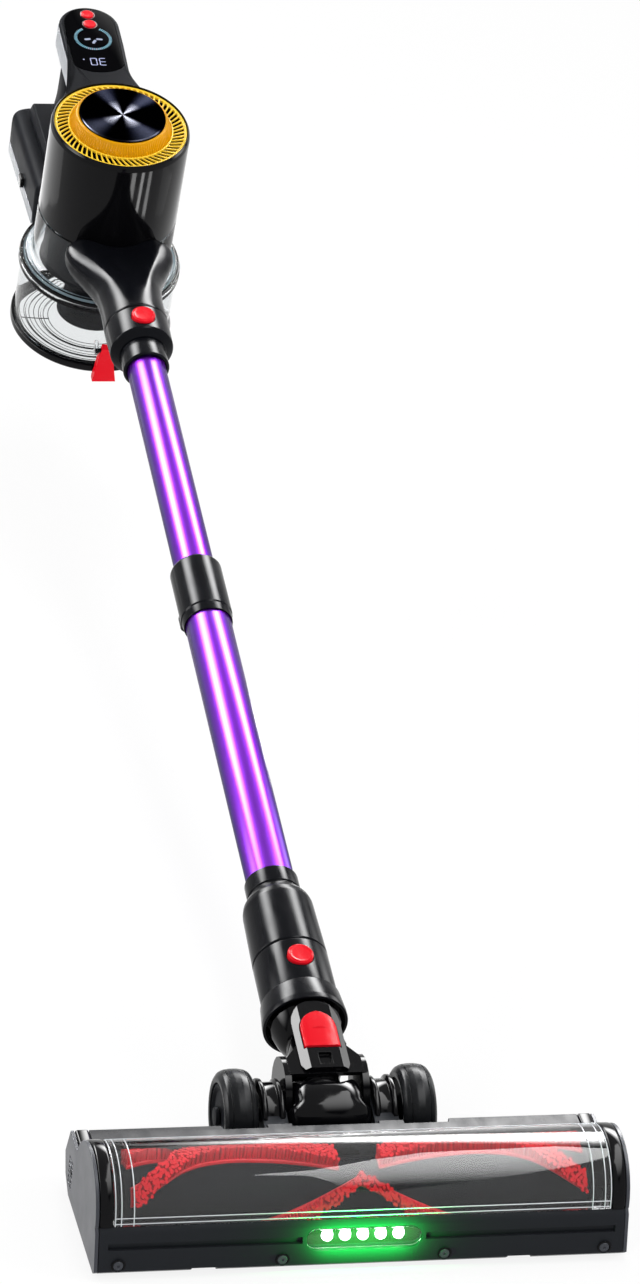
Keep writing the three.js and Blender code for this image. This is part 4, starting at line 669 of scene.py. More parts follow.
def filter_paper(name):
    """Pleated filter paper: off-white and fully matt, with a felt-like surface."""
    material, tree, output = new_material(name)
    fibre = noise(tree, 0.6, 4)
    bump = add(tree, "ShaderNodeBump", None, {"Strength": 0.4, "Distance": 0.05 * MM, "Height": fibre})
    return principled(material, output, {
        "Base Color": shaded(tree, rgba("#e7e4da"), 0.12, fibre), "Roughness": 0.9, "Normal": bump.outputs[0],
    })


def make_finishes(colours):
    """All the part's materials, by name."""
    tube_turn = (math.atan2(UPPER[1], UPPER[2]), 0, 0)
    disc_centre = CLEANER_ORIGIN + UPPER * 82 * MM
    FINISH.update(
        gloss=polished_abs("piano black ABS", colours.gloss_black, 0.08, ior=1.2),
        smooth=polished_abs("smooth black ABS", "#0b0c10", 0.17, ior=1.155),
        display=polished_abs("display glass", colours.gloss_black, 0.04, ior=1.025),
        satin=moulded_abs("satin black ABS", colours.satin_black, 0.42, ior=1.06),
        # painted shade: a near-black finish for the shade in the slots, in the shroud's holes and in the chamber
        # behind the roll
        void=moulded_abs("painted shade black", "#040404", 0.9, ior=1.02),
        panel=moulded_abs("satin grey ABS", "#3d3f45", 0.32, 0.4, 0.012, ior=1.28),
        bumper=moulded_abs("bumper ABS", "#1e2024", 0.36, ior=1.18),
        deck=polished_abs("deck ABS", "#15161a", 0.24, ior=1.13),
        grey=moulded_abs("grey moulded ABS", colours.deck_grey, 0.4),
        silver=moulded_abs("silver painted ABS", colours.silver_grey, 0.42, 0.6, 0.03),
        purple=anodised_aluminium("purple anodised aluminium", colours.tube_purple, tube_turn),
        red=polished_abs("red ABS", colours.signal_red, 0.22, ior=1.15),
        yellow=polished_abs("yellow ABS", colours.ring_yellow, 0.25, ior=1.2),
        orange=polished_abs("orange tinted ABS", colours.skirt_orange, 0.25, ior=1.15),
        # the disc's finish has painted reflection fans in its colour
        disc=machined_disc_painted_fans("turned dark aluminium with painted reflection fans", disc_centre),
        steel=brushed_steel("turned steel"),
        clear=clear_polycarbonate("clear polycarbonate", "#fafbfb", 0.015, 1.36),
        clear_thick=clear_polycarbonate("clear cup polycarbonate", "#f2f4f5", 0.02, 1.2),
        rubber=tyre_rubber("moulded rubber"),
        tyre=polished_abs("tyre rubber", "#141517", 0.24, ior=1.16),
        hose=polished_abs("hose elastomer", "#141416", 0.25, ior=1.3),
        tufts=nylon_tuft("red nylon tufts", colours.bristle_red),
        tuft_rib=moulded_abs("red tuft rib", colours.bristle_red, 0.5),
        lamp=glowing("lamp core", "#eafff0", 8.0),
        board=polished_abs("lamp board", "#06140a", 0.3, ior=1.3),
        teal=glowing("display teal", colours.display_teal, 0.22),
        mark=glowing("display marks", "#5c6684", 0.13),
        # painted shade: a dark red band that stands for the shaded recess round each button
        well=polished_abs("painted recess shade round the buttons", "#5a0a12", 0.3),
        digit=glowing("display digits", "#8c94c0", 0.22),
        # painted highlight: light grey for the bright edges of clear polycarbonate
        clear_edge=polished_abs("painted highlight on clear polycarbonate edges", "#c4c8cc", 0.2),
        paper=filter_paper("pleated filter paper"),
        copper=brushed_steel("wound copper", "#b0623a", 0.4),
        gasket=polished_abs("grey-blue gasket", "#7d8e95", 0.12, ior=1.4),
    )


# ---------------------------------------------------------------- floor head

AXLE_Z = float(AXLE[2]) / MM
CHAMBER = (-82.0, 29.0)  # middle of the brush chamber, behind and above
SHELL_HALF = 147.2
CAP = (147.5, 155.5)
LAMP_Z = 19.0
LAMP_FACE = -113.2
LAMP_XS = [(i - 2) * 10.5 for i in range(5)]
STUD = (-120.8, 8.2)  # Y and Z of the studs on the bumper


def chamber_arc(radius, start, end, steps=40):
    """Points round the brush chamber, angles from the back over the top."""
    return arc(*CHAMBER, radius, start, end, steps)


def arch_outline(radius, rise, bottom):
    """The side profile above the bumper: the arch, the step and the deck."""
    front = np.array([[CHAMBER[0] - radius, bottom]])
    rear = np.array([[-24.5, bottom], [-29.5, 41 + rise], [-48, 40.6 + rise]])
    return np.concatenate([chamber_arc(radius, 22, 177.5), front, rear])


def shell_between(outer, inner):
    """A closed sheet between two grids of the same size: both faces and a border along all four sides."""
    rows, columns = outer.shape[:2]
    index = np.arange(rows * columns).reshape(rows, columns)
    other = index + rows * columns
    corners = [index[:-1, :-1], index[:-1, 1:], index[1:, 1:], index[1:, :-1]]
    quads = np.stack(corners, -1).reshape(-1, 4)
    faces = quads.tolist() + (quads + rows * columns)[:, ::-1].tolist()
    for edge in ((0,), (-1,), (slice(None), 0), (slice(None), -1)):
        a, b = index[edge], other[edge]
        faces += np.stack([a[:-1], a[1:], b[1:], b[:-1]], -1).tolist()
    return np.concatenate([outer.reshape(-1, 3), inner.reshape(-1, 3)]), faces


def make_housing():
    """The floor head's housing: bumper, deck, side plates and sole, the clear brush window with its bright edges, the
    end caps, the studs, and a dark liner behind the roll that stands for the wall of the airway."""
    refined("head_base", "bumper", 0.7)
    refined("head_cover", "deck", 0.5)
    refined("sole_plate", "grey", 0.4)
    for side in ("left", "right"):
        refined(f"side_panel_{side}", "panel", 0.45)
    dress("glide_strip", "rubber")
    outer = bpy.context.scene.vacuum_sizes.chamber
    window = np.concatenate([chamber_arc(outer, 62.5, 177.5, 64), chamber_arc(outer - 2, 177.5, 62.5, 64)])
    build("window", [extrude(window, -SHELL_HALF, SHELL_HALF, 0.4, "x")], HEAD, "clear", "floor_head",
          ("brush_window",))
    # painted highlight: light grey strips along the window's ends and edges
    painted_edge_strips = []
    bow = np.concatenate([chamber_arc(outer + 0.25, 64, 177, 60), chamber_arc(outer - 0.1, 177, 64, 60)])
    for x in (SHELL_HALF - 0.7, SHELL_HALF - 4.2, SHELL_HALF - 11.5):
        painted_edge_strips += both_sides(extrude(bow, x - 0.3, x + 0.3, 0.1, "x"))
    for angle in (64.5, 168.5, 174.5):
        y, z = chamber_arc(outer + 0.15, angle, angle, 1)[0]
        painted_edge_strips.append(extrude(round_box(y, z, 0.28, 0.28, 0.25, 3), -SHELL_HALF + 1, SHELL_HALF - 1, 0.1, "x"))
    build("window_edge_highlights", painted_edge_strips, HEAD, "clear_edge", "floor_head", ())
    band = fillet(arch_outline(33.4, 0.4, 30.3), 1.2)
    plate = arc(*CHAMBER, 28.6, 180, 357, 30)
    cap = [extrude(band, *CAP, 1.3, "x"), extrude(plate, CAP[0], CAP[0] + 4, 0.3, "x")]
    mirror = [both_sides(part)[1] for part in cap]
    build("end_cap_gloss_right", cap, HEAD, "gloss", "floor_head", ("end_cap_right",))
    build("end_cap_gloss_left", mirror, HEAD, "gloss", "floor_head", ("end_cap_left",))
    screws, rims = [], []
    for x in (48, 144):
        head = revolve([[0, 0], [2.6, 0], [2.9, 0.35], [2.9, 0.8], [2.6, 1.1], [1.0, 1.1], [0.7, 0.5], [0, 0.5]], 32)
        screws += both_sides(shifted(turned_to_front(head), x, *STUD))
        rims += both_sides(shifted(turned_to_front(hoop(3.2, 4.2, 0, 0.5, 0.15, 48)), x, STUD[0] - 0.5, STUD[1]))
    build("bumper_studs", screws, HEAD, "panel", "floor_head")
    build("stud_rims", rims, HEAD, "gloss", "floor_head")
    # painted shade: a near-black liner for the shaded wall of the airway behind the roll
    liner = np.concatenate([chamber_arc(31.9, -25, 61.5, 36), chamber_arc(31.3, 61.5, -25, 36)])
    build("chamber_liner", [extrude(liner, -34, 34, 0.2, "x")], HEAD, "void", "floor_head")


def turned_to_front(part):
    """A part made along Z, turned to face forwards, along -Y."""
    verts, faces = part
    return verts[:, [0, 2, 1]] * np.array([1, -1, 1]), faces


def make_lights():
    """The headlight: five lamps on a dark board behind a clear lens with a thin bright border."""
    outline = round_box(0, LAMP_Z, 33.6, 5.8, 5.7, 10)
    board = extrude(outline[:, [1, 0]], LAMP_FACE - 0.6, LAMP_FACE, 0.2, "y")
    build("lamp_board", [board], HEAD, "board", "floor_head", ())
    lamps = []
    dome = [[0, 2.9], [1.6, 2.6], [2.8, 1.7], [3.4, 0.3], [3.4, -0.4], [0, -0.4]]
    for x in LAMP_XS:
        lamps.append(shifted(turned_to_front(revolve(dome, 32)), x, LAMP_FACE - 0.7, LAMP_Z))
    build("lamps", lamps, HEAD, "lamp", "floor_head", ("light_strip",))
    lens = round_box(0, LAMP_Z, 34.2, 6.4, 6.3, 12)
    build("lens", [extrude(lens[:, [1, 0]], -118.2, -116.5, 0.5, "y")], HEAD, "clear", "floor_head",
          ("light_lens",))


# ---------------------------------------------------------------- brush roll

TUFT_TWIST = 1.45  # degrees of turn for each millimetre along the roll
STRIP_STARTS = {"front": 133.0, "back": -118.0}  # where each V's point stands
BOW_TURNS = [(12, 97), (30, 84), (50, 72), (70, 66), (85, 72), (100, 88), (115, 115), (128, 140), (136, 152)]
BOW_START = 12.0
ROLL_REACH = 134.0


def tuft_row(kind, core, low, high, rows):
    """One strip of tufts from low to high. Tuft k stands at x_k on the strip, at the strip's angle there, as a
    flat cone that spreads from its hole and leans a little, each by its own amount."""
    pitch, lane_step, around = 1.7, 1.55, 6
    xs = np.arange(low + 1, high - 1, pitch)
    x = np.repeat(xs, rows)
    lane = np.tile((np.arange(rows) - (rows - 1) / 2) * lane_step, len(xs))
    spread = np.random.default_rng(7)
    angle = np.radians(strip_turn(kind, x)) + lane / (core + 4)
    lean = spread.uniform(-0.05, 0.05, len(x))
    tilt = spread.uniform(-0.9, 0.9, len(x))
    length = bpy.context.scene.vacuum_sizes.tufts - 0.1 - spread.uniform(0, 0.6, len(x))
    ring = 2 * np.pi * np.arange(around) / around
    levels = [(core - 0.4, 0.9), (core + 2.5, 1.05), (core + 6.0, 1.2), (None, 1.25)]
    stack = []
    for share, (radius, width) in zip((0, 0.3, 0.7, 1), levels):
        r = (length if radius is None else np.full(len(x), radius))[:, None]
        turn = angle[:, None] + lean[:, None] * share + width * np.sin(ring) / r
        along = x[:, None] + tilt[:, None] * share + width * 0.8 * np.cos(ring)
        y, z = CHAMBER[0] + r * np.cos(turn), CHAMBER[1] + r * np.sin(turn)
        stack.append(np.stack([along, y, z], -1))
    grid = np.stack(stack, 1)
    count = grid.shape[0]
    base = np.arange(count)[:, None, None] * (4 * around)
    i, j = np.meshgrid(np.arange(3), np.arange(around), indexing="ij")
    k = (j + 1) % around
    quad = np.stack([i * around + j, i * around + k, (i + 1) * around + k, (i + 1) * around + j], -1)
    faces = (base + quad.reshape(1, -1, 4)).reshape(-1, 4).tolist()
    tips = (base[:, 0] + 3 * around + np.arange(around)).tolist()
    roots = (base[:, 0] + np.arange(around)[::-1]).tolist()
    return grid.reshape(-1, 3), faces + tips + roots


def strip_turn(kind, x):
    """The angle of a tuft strip round the roll, in degrees from the back over the top, at a distance from the
    roll's middle: a V winds evenly, and a bow goes back first and then winds as the V does."""
    distance = np.abs(x)
    if kind == "bow":
        return eased(BOW_TURNS, distance.ravel())[:, 0].reshape(distance.shape)
    return STRIP_STARTS[kind] + TUFT_TWIST * distance


def make_brush_roll():
    """The brush roll: its core with end discs, and strips of red tufts set in raised ribs: two V-shaped ones and
    a bow at each side."""
    core = bpy.context.scene.vacuum_sizes.core
    pulley = [[14, -146.1], [14, -145.3], [12, -145.1], [12, -139.8], [14, -139.6], [14, -137]]
    profile = fillet([
        [0, -150.9], [4, -150.9], [4, -146.2], *pulley, [core, -137], [core, 137], [4, 139], [4, 150.9], [0, 150.9]
    ], 0.4, steps=3)
    section = np.array([[-5.4, -0.8], [-5.4, 1.5], [-4.8, 2.1], [0, 2.3], [4.8, 2.1], [5.4, 1.5], [5.4, -0.8]])
    ribs, tufts = [], []
    for kind, start in (("front", 0), ("back", 0), ("bow", BOW_START), ("bow", -BOW_START)):
        ends = (start, math.copysign(ROLL_REACH, start)) if start else (-ROLL_REACH, ROLL_REACH)
        x = np.linspace(min(ends), max(ends), 121)[:, None]
        wide = 0.55 if kind == "front" else 1.0
        r = core + section[:, 1]
        turn = np.radians(strip_turn(kind, x)) + wide * section[:, 0] / core
        y, z = CHAMBER[0] + r * np.cos(turn), CHAMBER[1] + r * np.sin(turn)
        ribs.append(skin(np.stack([np.broadcast_to(x, y.shape), y, z], -1), caps=True))
        tufts.append(tuft_row(kind, core, min(ends), max(ends), 4 if kind == "front" else 7))
    verts, faces = laid(revolve(profile, 72), "x")
    roll = (verts + np.array([0, CHAMBER[0], CHAMBER[1]]), faces)
    build("roll_core", [roll], HEAD, "satin", "brush_roll", ("brush_core",))
    build("tuft_ribs", ribs, HEAD, "tuft_rib", "brush_roll", ())
    build("tufts", tufts, HEAD, "tufts", "brush_roll", ("bristle_sleeve",), sharp=60)
    dress("brush_motor", "steel")
    dress("motor_pulley", "satin")
    dress("drive_belt", "rubber")


# ---------------------------------------------------------------- wheels and neck


def make_wheels():
    """The two wheels: ribbed tyres on dished hubs, with the heads of the axle pins."""
    wheel = bpy.context.scene.vacuum_sizes.wheel
    side = 10.5
    half = [
        [20.1, -side + 0.6], [wheel - 4.6, -side + 0.2], [wheel - 1.8, -side + 2.2], [wheel - 0.7, -side + 4.4],
        [wheel - 1.2, -side + 4.6], [wheel - 1.2, -side + 5.0], [wheel - 0.5, -side + 5.2], [wheel, -side + 8.5],
    ]
    rounds = [0.4, 2.5, 2.5, 0.15, 0.15, 0.15, 0.15, 6]
    tyre = fillet([*half, *[[r, -z] for r, z in half[::-1]]], [*rounds, *rounds[::-1]], closed=True, steps=4)
    spool = fillet([[13.5, 27], [20.5, 27], [21.5, 28], [21.5, 29.8], [19.6, 30.8], [19.6, 37.4], [22, 38.4],
                    [22, 40.8], [13.5, 40.8]], 0.6, True, 3)
    verts, faces = laid(revolve(spool, 96, closed=True), "x")
    spools = both_sides((verts + np.array([0, 0, AXLE_Z]), faces))
    build("axle_spools", spools, HEAD, "gloss", "floor_head", ())
    hub = fillet([
        [4.3, -side + 1], [9, -side + 1], [11, -side + 3], [19.8, -side + 2], [19.8, side - 1.5], [17.8, side - 1.2],
        [15.8, side - 2.6], [9, side - 1.8], [4.3, side - 1.8],
    ], 0.5, closed=True, steps=3)
    pin = fillet([[0, 21.8], [4, 21.8], [4, 63.3], [6.5, 63.3], [5.5, 65.7], [0, 65.7]], 0.5, steps=3)
    for name, sign in (("right", 1), ("left", -1)):
        flip = np.array([sign, 1, 1])
        for label, part, shift, finish, body, node, slot in (
            ("tyre", revolve(tyre, COARSE, closed=True), 54, "tyre", f"wheel_{name}", f"tyre_{name}", "tyre"),
            ("hub", revolve(hub, 96, closed=True), 54, "satin", f"wheel_{name}", f"wheel_hub_{name}", "matte_black"),
            ("pin", revolve(pin, 48), 0, "satin", "floor_head", f"axle_{name}", "steel"),
        ):
            verts, faces = laid(part, "x")
            verts = (verts + np.array([shift, 0, AXLE_Z])) * flip
            build(f"{label}_{name}_turned", [(verts, faces)], HEAD, finish, body, (node,))


NECK_FRONT = [
    (-19, 20.9), (-16, 20.9), (-2, 26.2), (16, 28.9), (36, 29.2), (58, 28.3), (75, 26.6), (100, 23.2), (128, 21),
]
NECK_WIDTH = [(-19, 25.2), (-16, 25.2), (36, 25.2), (53, 20.8), (128, 20.2)]


def neck_grid(wall, rows=56, columns=72):
    """The snout's skin, a wall's depth inside: at the turn t across it and the angle a round the axle,
    x = half(a) |cos t|^0.62 and r = 14 + (front(a) - 14) sin(t)^0.62, from the lowest edge to the U-shaped rim
    a = 75 + 45 cos^2 t."""
    turn = np.linspace(0, np.pi, columns)
    c, s = np.cos(turn)[None], np.clip(np.sin(turn), 0, 1)[None]
    share = np.linspace(0, 1, rows)[:, None]
    angle = -16 + (75 + 45 * c * c + 16) * share
    front = eased(NECK_FRONT, angle.ravel()).reshape(angle.shape) - wall
    half = eased(NECK_WIDTH, angle.ravel()).reshape(angle.shape) - wall
    x = half * np.sign(c) * np.abs(c) ** 0.62
    r = 14 + (front - 14) * s**0.62
    a = np.radians(angle)
    return np.stack([x, -r * np.cos(a), AXLE_Z + r * np.sin(a)], -1)


def make_neck():
    """The neck: the glossy snout, the yoke that holds the swivel and the corrugated hose."""
    snout = build("snout", [shell_between(neck_grid(0), neck_grid(2.2))], HEAD, "gloss", "neck",
                  ("neck_shell",), sharp=50)
    rounded = snout.modifiers.new("rounded rim", "BEVEL")
    rounded.width, rounded.segments, rounded.limit_method = 0.7 * MM, 3, "ANGLE"
    rounded.angle_limit = math.radians(50)
    refined("neck_yoke", "gloss", 0.6)
    start, end, ribs = -6.0, 15.4, 7
    s = np.linspace(start, end, ribs * 10 + 1)
    wave = 11.4 + 0.75 * np.cos((s - start) / (end - start) * ribs * 2 * np.pi - np.pi)
    profile = np.column_stack([wave, s])
    inner = np.array([[9.6, end], [9.6, start]])
    build("hose", [revolve(np.concatenate([profile, inner]), 72, closed=True)], WAND, "hose", "neck",
          ("neck_hose",))


# ---------------------------------------------------------------- elbow and wand


def make_elbow():
    """The elbow over the swivel: its body, the plate with a square socket, the red tab and the skirt."""
    refined("elbow_body", "gloss", 0.6)
    refined("elbow_plate", "gloss", 0.5)
    refined("elbow_tab", "red", 0.7)
    skirt = fillet([[24, 63], [26, 63], [26, 67], [24.6, 80.7], [18.8, 80.7], [18.8, 74], [22.8, 73]], 0.7, True)
    build("skirt", [revolve(skirt, COARSE, closed=True)], WAND, "smooth", "lower_wand", ("connector_skirt",))


def push_button(s, low, high, radius):
    """A round push button on the upper side, crowned with a dished middle."""
    profile = fillet([
        [0, low], [radius, low], [radius, high - 1.2], [radius - 1.2, high - 0.1], [radius - 2.6, high - 0.5],
        [0, high - 0.9],
    ], 0.7)
    return shifted(laid(revolve(profile, 72), "-y"), 0, 0, s)


def pierced(name, parts, place, finish, body, replaces, s, radius, low, high):
    """A turned piece with a round hole on its upper side for a button: a round cutter is taken away from it."""
    obj = build(name, parts, place, finish, body, replaces)
    plug = revolve([[0, low], [radius, low], [radius, high], [0, high]], 72)
    cutter = build(f"{name}_cutter", [shifted(laid(plug, "-y"), 0, 0, s)], place, finish, body)
    hole = obj.modifiers.new("button hole", "BOOLEAN")
    hole.operation, hole.solver, hole.object = "DIFFERENCE", "EXACT", cutter
    bpy.context.view_layer.update()
    graph = bpy.context.evaluated_depsgraph_get()
    cut = bpy.data.meshes.new_from_object(obj.evaluated_get(graph))
    obj.modifiers.clear()
    old = obj.data
    obj.data = cut
    bpy.data.meshes.remove(old)
    bpy.data.objects.remove(cutter)
    cut.set_sharp_from_angle(angle=math.radians(32))
    return obj


def make_wand():
    """The wand: connector with its red button, two telescoping tubes, the clamp and the top ring."""
    sizes = bpy.context.scene.vacuum_sizes
    sleeve, lower, upper = sizes.sleeve, sizes.tube_lower, sizes.tube_upper
    collar = fillet([[18.8, 81], [sleeve + 0.2, 81], [sleeve, 114], [sleeve - 0.6, 114.7], [18.8, 114.7]], 0.8, True)
    pierced("sleeve", [revolve(collar, COARSE, closed=True)], WAND, "smooth", "lower_wand", ("connector_sleeve",),
            100, 8.5, 8, 40)
    build("sleeve_button", [push_button(100, 16.6, 25.4, sizes.button)], WAND, "red", "connector_button",
          ("connector_button",))
    body = fillet([
        [18.8, 115], [sleeve - 0.6, 115], [sleeve, 116], [22, 158], [21, 162], [17.4, 168.5], [16, 169.2],
        [16, 170.4], [16.8, 171], [16.8, 182.2], [16, 183], [15.3, 183], [15.3, 147.7], [11.5, 147.7],
        [11.5, 121.3], [18.8, 121.3],
    ], [0, 0.4, 0.8, 12, 3, 2, 0.5, 0.5, 0.4, 0.5, 0.4, 0, 0, 0, 0, 0], True)
    build("socket", [revolve(body, COARSE, closed=True)], WAND, "smooth", "lower_wand", ("connector_body",))
    wall = 1.2
    for name, radius, low, high, body, node in (
        ("tube_lower", lower, 148, 450, "lower_wand", "lower_tube"),
        ("tube_upper", upper, 352, 700, "main_unit", "upper_tube"),
    ):
        build(name, [hoop(radius - wall, radius, low, high, 0.3, COARSE)], WAND, "purple", body, (node,))
    clamp = fillet([
        [15.3, 416], [16, 416], [16.4, 422], [17, 423], [17, 465.6], [16.2, 467.3], [14.6, 468], [13.5, 468],
        [13.5, 450.3], [15.3, 450.3],
    ], 0.5, True)
    boss = extrude(round_box(0, 0, 8, 13, 4), -19.2, -14.8, 0.8, "y", hole=round_box(0, 0, 5.5, 9, 4.9))
    verts, faces = boss
    boss = (verts * np.array([1, -1, 1]) + np.array([0, 0, 438]), [face[::-1] for face in faces])
    build("clamp", [revolve(clamp, COARSE, closed=True), boss], WAND, "smooth", "lower_wand", ("tube_collar",))
    refined("collar_key", "satin", 0.6)
    top = fillet([[13.5, 670], [14.8, 670], [15.8, 671], [15.8, 686.2], [13.5, 686.2]], 0.4, True)
    build("top_ring", [revolve(top, 96, closed=True)], WAND, "smooth", "main_unit", ("wand_top_ring",))


# ---------------------------------------------------------------- inlet duct

CLEANER_S = 844.0  # where the cylinder's axis meets the wand's centre line
SEAT_RADIUS = 48.8  # where the duct and the handle meet the cylinder
DUCT = [  # distance along the wand, half width, up, down, squareness, depth of the valley between the lobes
    (713, 21.6, 21.6, 21.6, 2, 0), (714, 22.1, 22.1, 22.1, 2, 0), (731, 21.8, 21.6, 21.5, 2, 1.2),
    (746, 22.6, 20.4, 21.2, 2.1, 3.4), (756, 24.8, 18.6, 21, 2.2, 5.2), (766, 28.8, 16.2, 21, 2.3, 6.6),
    (776, 33.4, 14, 21, 2.4, 7.4), (785, 36.9, 12, 20.5, 2.5, 7.2), (792, 37.8, 10.6, 20, 2.6, 6.2),
    (797, 36.8, 9.6, 19.4, 2.8, 5), (801, 33.8, 8.8, 18.8, 3, 3.8), (806, 29, 8, 18, 3, 2.5), (818, 27, 7, 18, 3, 1),
]


def make_duct():
    """The inlet duct: a barrel that spreads into a two-lobed shield, which ends on the cylinder: each line along it
    stops where s = middle - sqrt(R^2 - x^2), and the upper side sinks by depth * cos(|x| / 0.72 half)^2 between the
    lobes."""
    sizes = bpy.context.scene.vacuum_sizes
    sleeve = fillet([
        [13.5, 686.5], [16.4, 686.5], [20.8, 690], [21.7, 691], [22.1, 712], [21.4, 712.7], [11.5, 712.7],
        [11.5, 700.3], [13.5, 700.3],
    ], [0, 0.8, 2, 1, 0.6, 0.4, 0, 0, 0], True)
    pierced("duct_sleeve_skin", [revolve(sleeve, COARSE, closed=True)], WAND, "smooth", "main_unit",
            ("duct_sleeve",), 702, 8.5, 14.6, 40)
    build("release_button", [push_button(702, 17.4, 24.2, sizes.button)], WAND, "red", "duct_button",
          ("duct_button",))
    rows, around = 120, 144
    s = np.linspace(713, 818, rows)
    table = eased(DUCT, s)
    rings = np.array([super_ring(half, up, down, power, around) for half, up, down, power, _ in table])
    x, h = rings[..., 0], rings[..., 1]
    share = np.abs(x) / table[:, 0, None]
    h = h - table[:, 4, None] * np.where(h > 0, np.cos(np.clip(share / 0.72, 0, 1) * np.pi / 2) ** 2, 0)
    reach = CLEANER_S - np.sqrt(np.maximum(SEAT_RADIUS**2 - x**2, 0))
    along = np.minimum(s[:, None], reach)
    grid = np.stack([x, -h, along], -1)
    build("duct", [skin(grid, caps=True)], WAND, "smooth", "main_unit", ("inlet_duct",), sharp=55)


# ---------------------------------------------------------------- motor, filter and fan


def make_motor_housing():
    """The gloss cylinder that holds the motor and the filter, and what is inside it."""
    sizes = bpy.context.scene.vacuum_sizes
    body, top = sizes.body, sizes.body_top
    housing = fillet([
        [14, 0.3], [body, 0.3], [body, top - 4.5], [body - 0.6, top - 1.8], [body - 1.5, top - 0.4], [46.7, top],
        [46.5, 70.7], [43.9, 70.7], [43.9, 67.7], [45.9, 65.7], [45.9, 3], [14, 3],
    ], [0, 0.8, 3, 2, 1, 0.3, 0, 0, 0, 0, 0, 0], True)
    build("housing", [revolve(housing, FINE, closed=True)], CLEANER, "gloss", "main_unit", ("motor_housing",))
    dress("hepa_filter", "paper")
    dress("suction_motor", "copper")
    dress("fan_impeller", "satin")


def blade_row(count, inner, outer, top, bottom, gap, swirl):
    """The bars between the air slots. At the share q of a bar's length, r = inner + (outer - inner) q and its
    middle stands at swirl * q, and its sides leave half a gap each to the next bar."""
    q = np.linspace(0, 1, 7)[:, None]
    radius = inner + (outer - inner) * q
    half = np.pi / count - gap / 2 / radius
    left = [(-1, 0, 0), (-1, 1, -0.5), (-1, 1, -0.15), (-0.8, 1, 0)]
    side, level, drop = np.array([*left, *[(-side, level, drop) for side, level, drop in left[::-1]]]).T
    turn = np.radians(swirl) * q + half * side
    z = bottom + (top - bottom) * level + drop
    grid = np.stack([radius * np.cos(turn), radius * np.sin(turn), np.broadcast_to(z, turn.shape)], -1)
    bar = skin(grid, caps=True)
    return [turned_about_z(bar, (k + 0.5) * 360 / count) for k in range(count)]


def make_filter_cap():
    """The slotted ring on top: two rims with swirling bars between them over a dark floor, a finely ribbed skirt that
    stands up inside, and the turned disc."""
    sizes = bpy.context.scene.vacuum_sizes
    top, ring = sizes.ring_top, sizes.ring
    low = top - 2.2
    rims = [
        hoop(44.2, ring, low, top, [0, 0.2, 0.7, 0.5], FINE, 5),
        hoop(34.5, 36.6, low, top, [0, 0, 0.4, 0], FINE, 5),
    ]
    bars = blade_row(sizes.slots, 36.4, 44.4, top - 0.15, top - 1.15, 2.75, 7)
    build("slotted_ring", rims + bars, CLEANER, "yellow", "filter_unit", ("filter_cap",))
    # painted shade: a dark floor under the bars in place of the shade inside the slots
    shade = hoop(36.7, 44.1, top - 2.1, top - 1.6, 0.1, MEDIUM)
    build("slot_shade", [shade], CLEANER, "void", "filter_unit", ())
    facets, ribs, depth = 864, 120, 0.6
    angle = 2 * np.pi * np.arange(facets) / facets
    rib = depth * np.abs(np.sin(ribs / 2 * angle))
    profile = np.array([
        [33.5, 66.5], [36.0, 66.5], [36.0, 73.9], [34.1, 77.5], [32.4, 80.8], [31.9, 81.6], [31.3, 82], [30.2, 82],
        [30.2, 80], [30.2, 66.5],
    ])
    ribbed = np.array([0, 0, 1, 1, 0.5, 0, 0, 0, 0, 0])
    r = profile[:, 0][:, None] - ribbed[:, None] * rib[None]
    grid = np.stack([r * np.cos(angle), r * np.sin(angle), np.repeat(profile[:, 1][:, None], facets, 1)], -1)
    build("ribbed_skirt", [skin(grid, wrap_rows=True)], CLEANER, "orange", "filter_unit", ())
    disc = sizes.disc
    face = fillet([[0, 80.3], [disc, 80.3], [disc, 83], [disc - 0.8, 83.6], [0, 83.2]], [0, 0, 0.4, 0.4, 0])
    build("disc", [revolve(face, FINE)], CLEANER, "disc", "filter_unit", ("cap_disc",))


# ---------------------------------------------------------------- dust cup


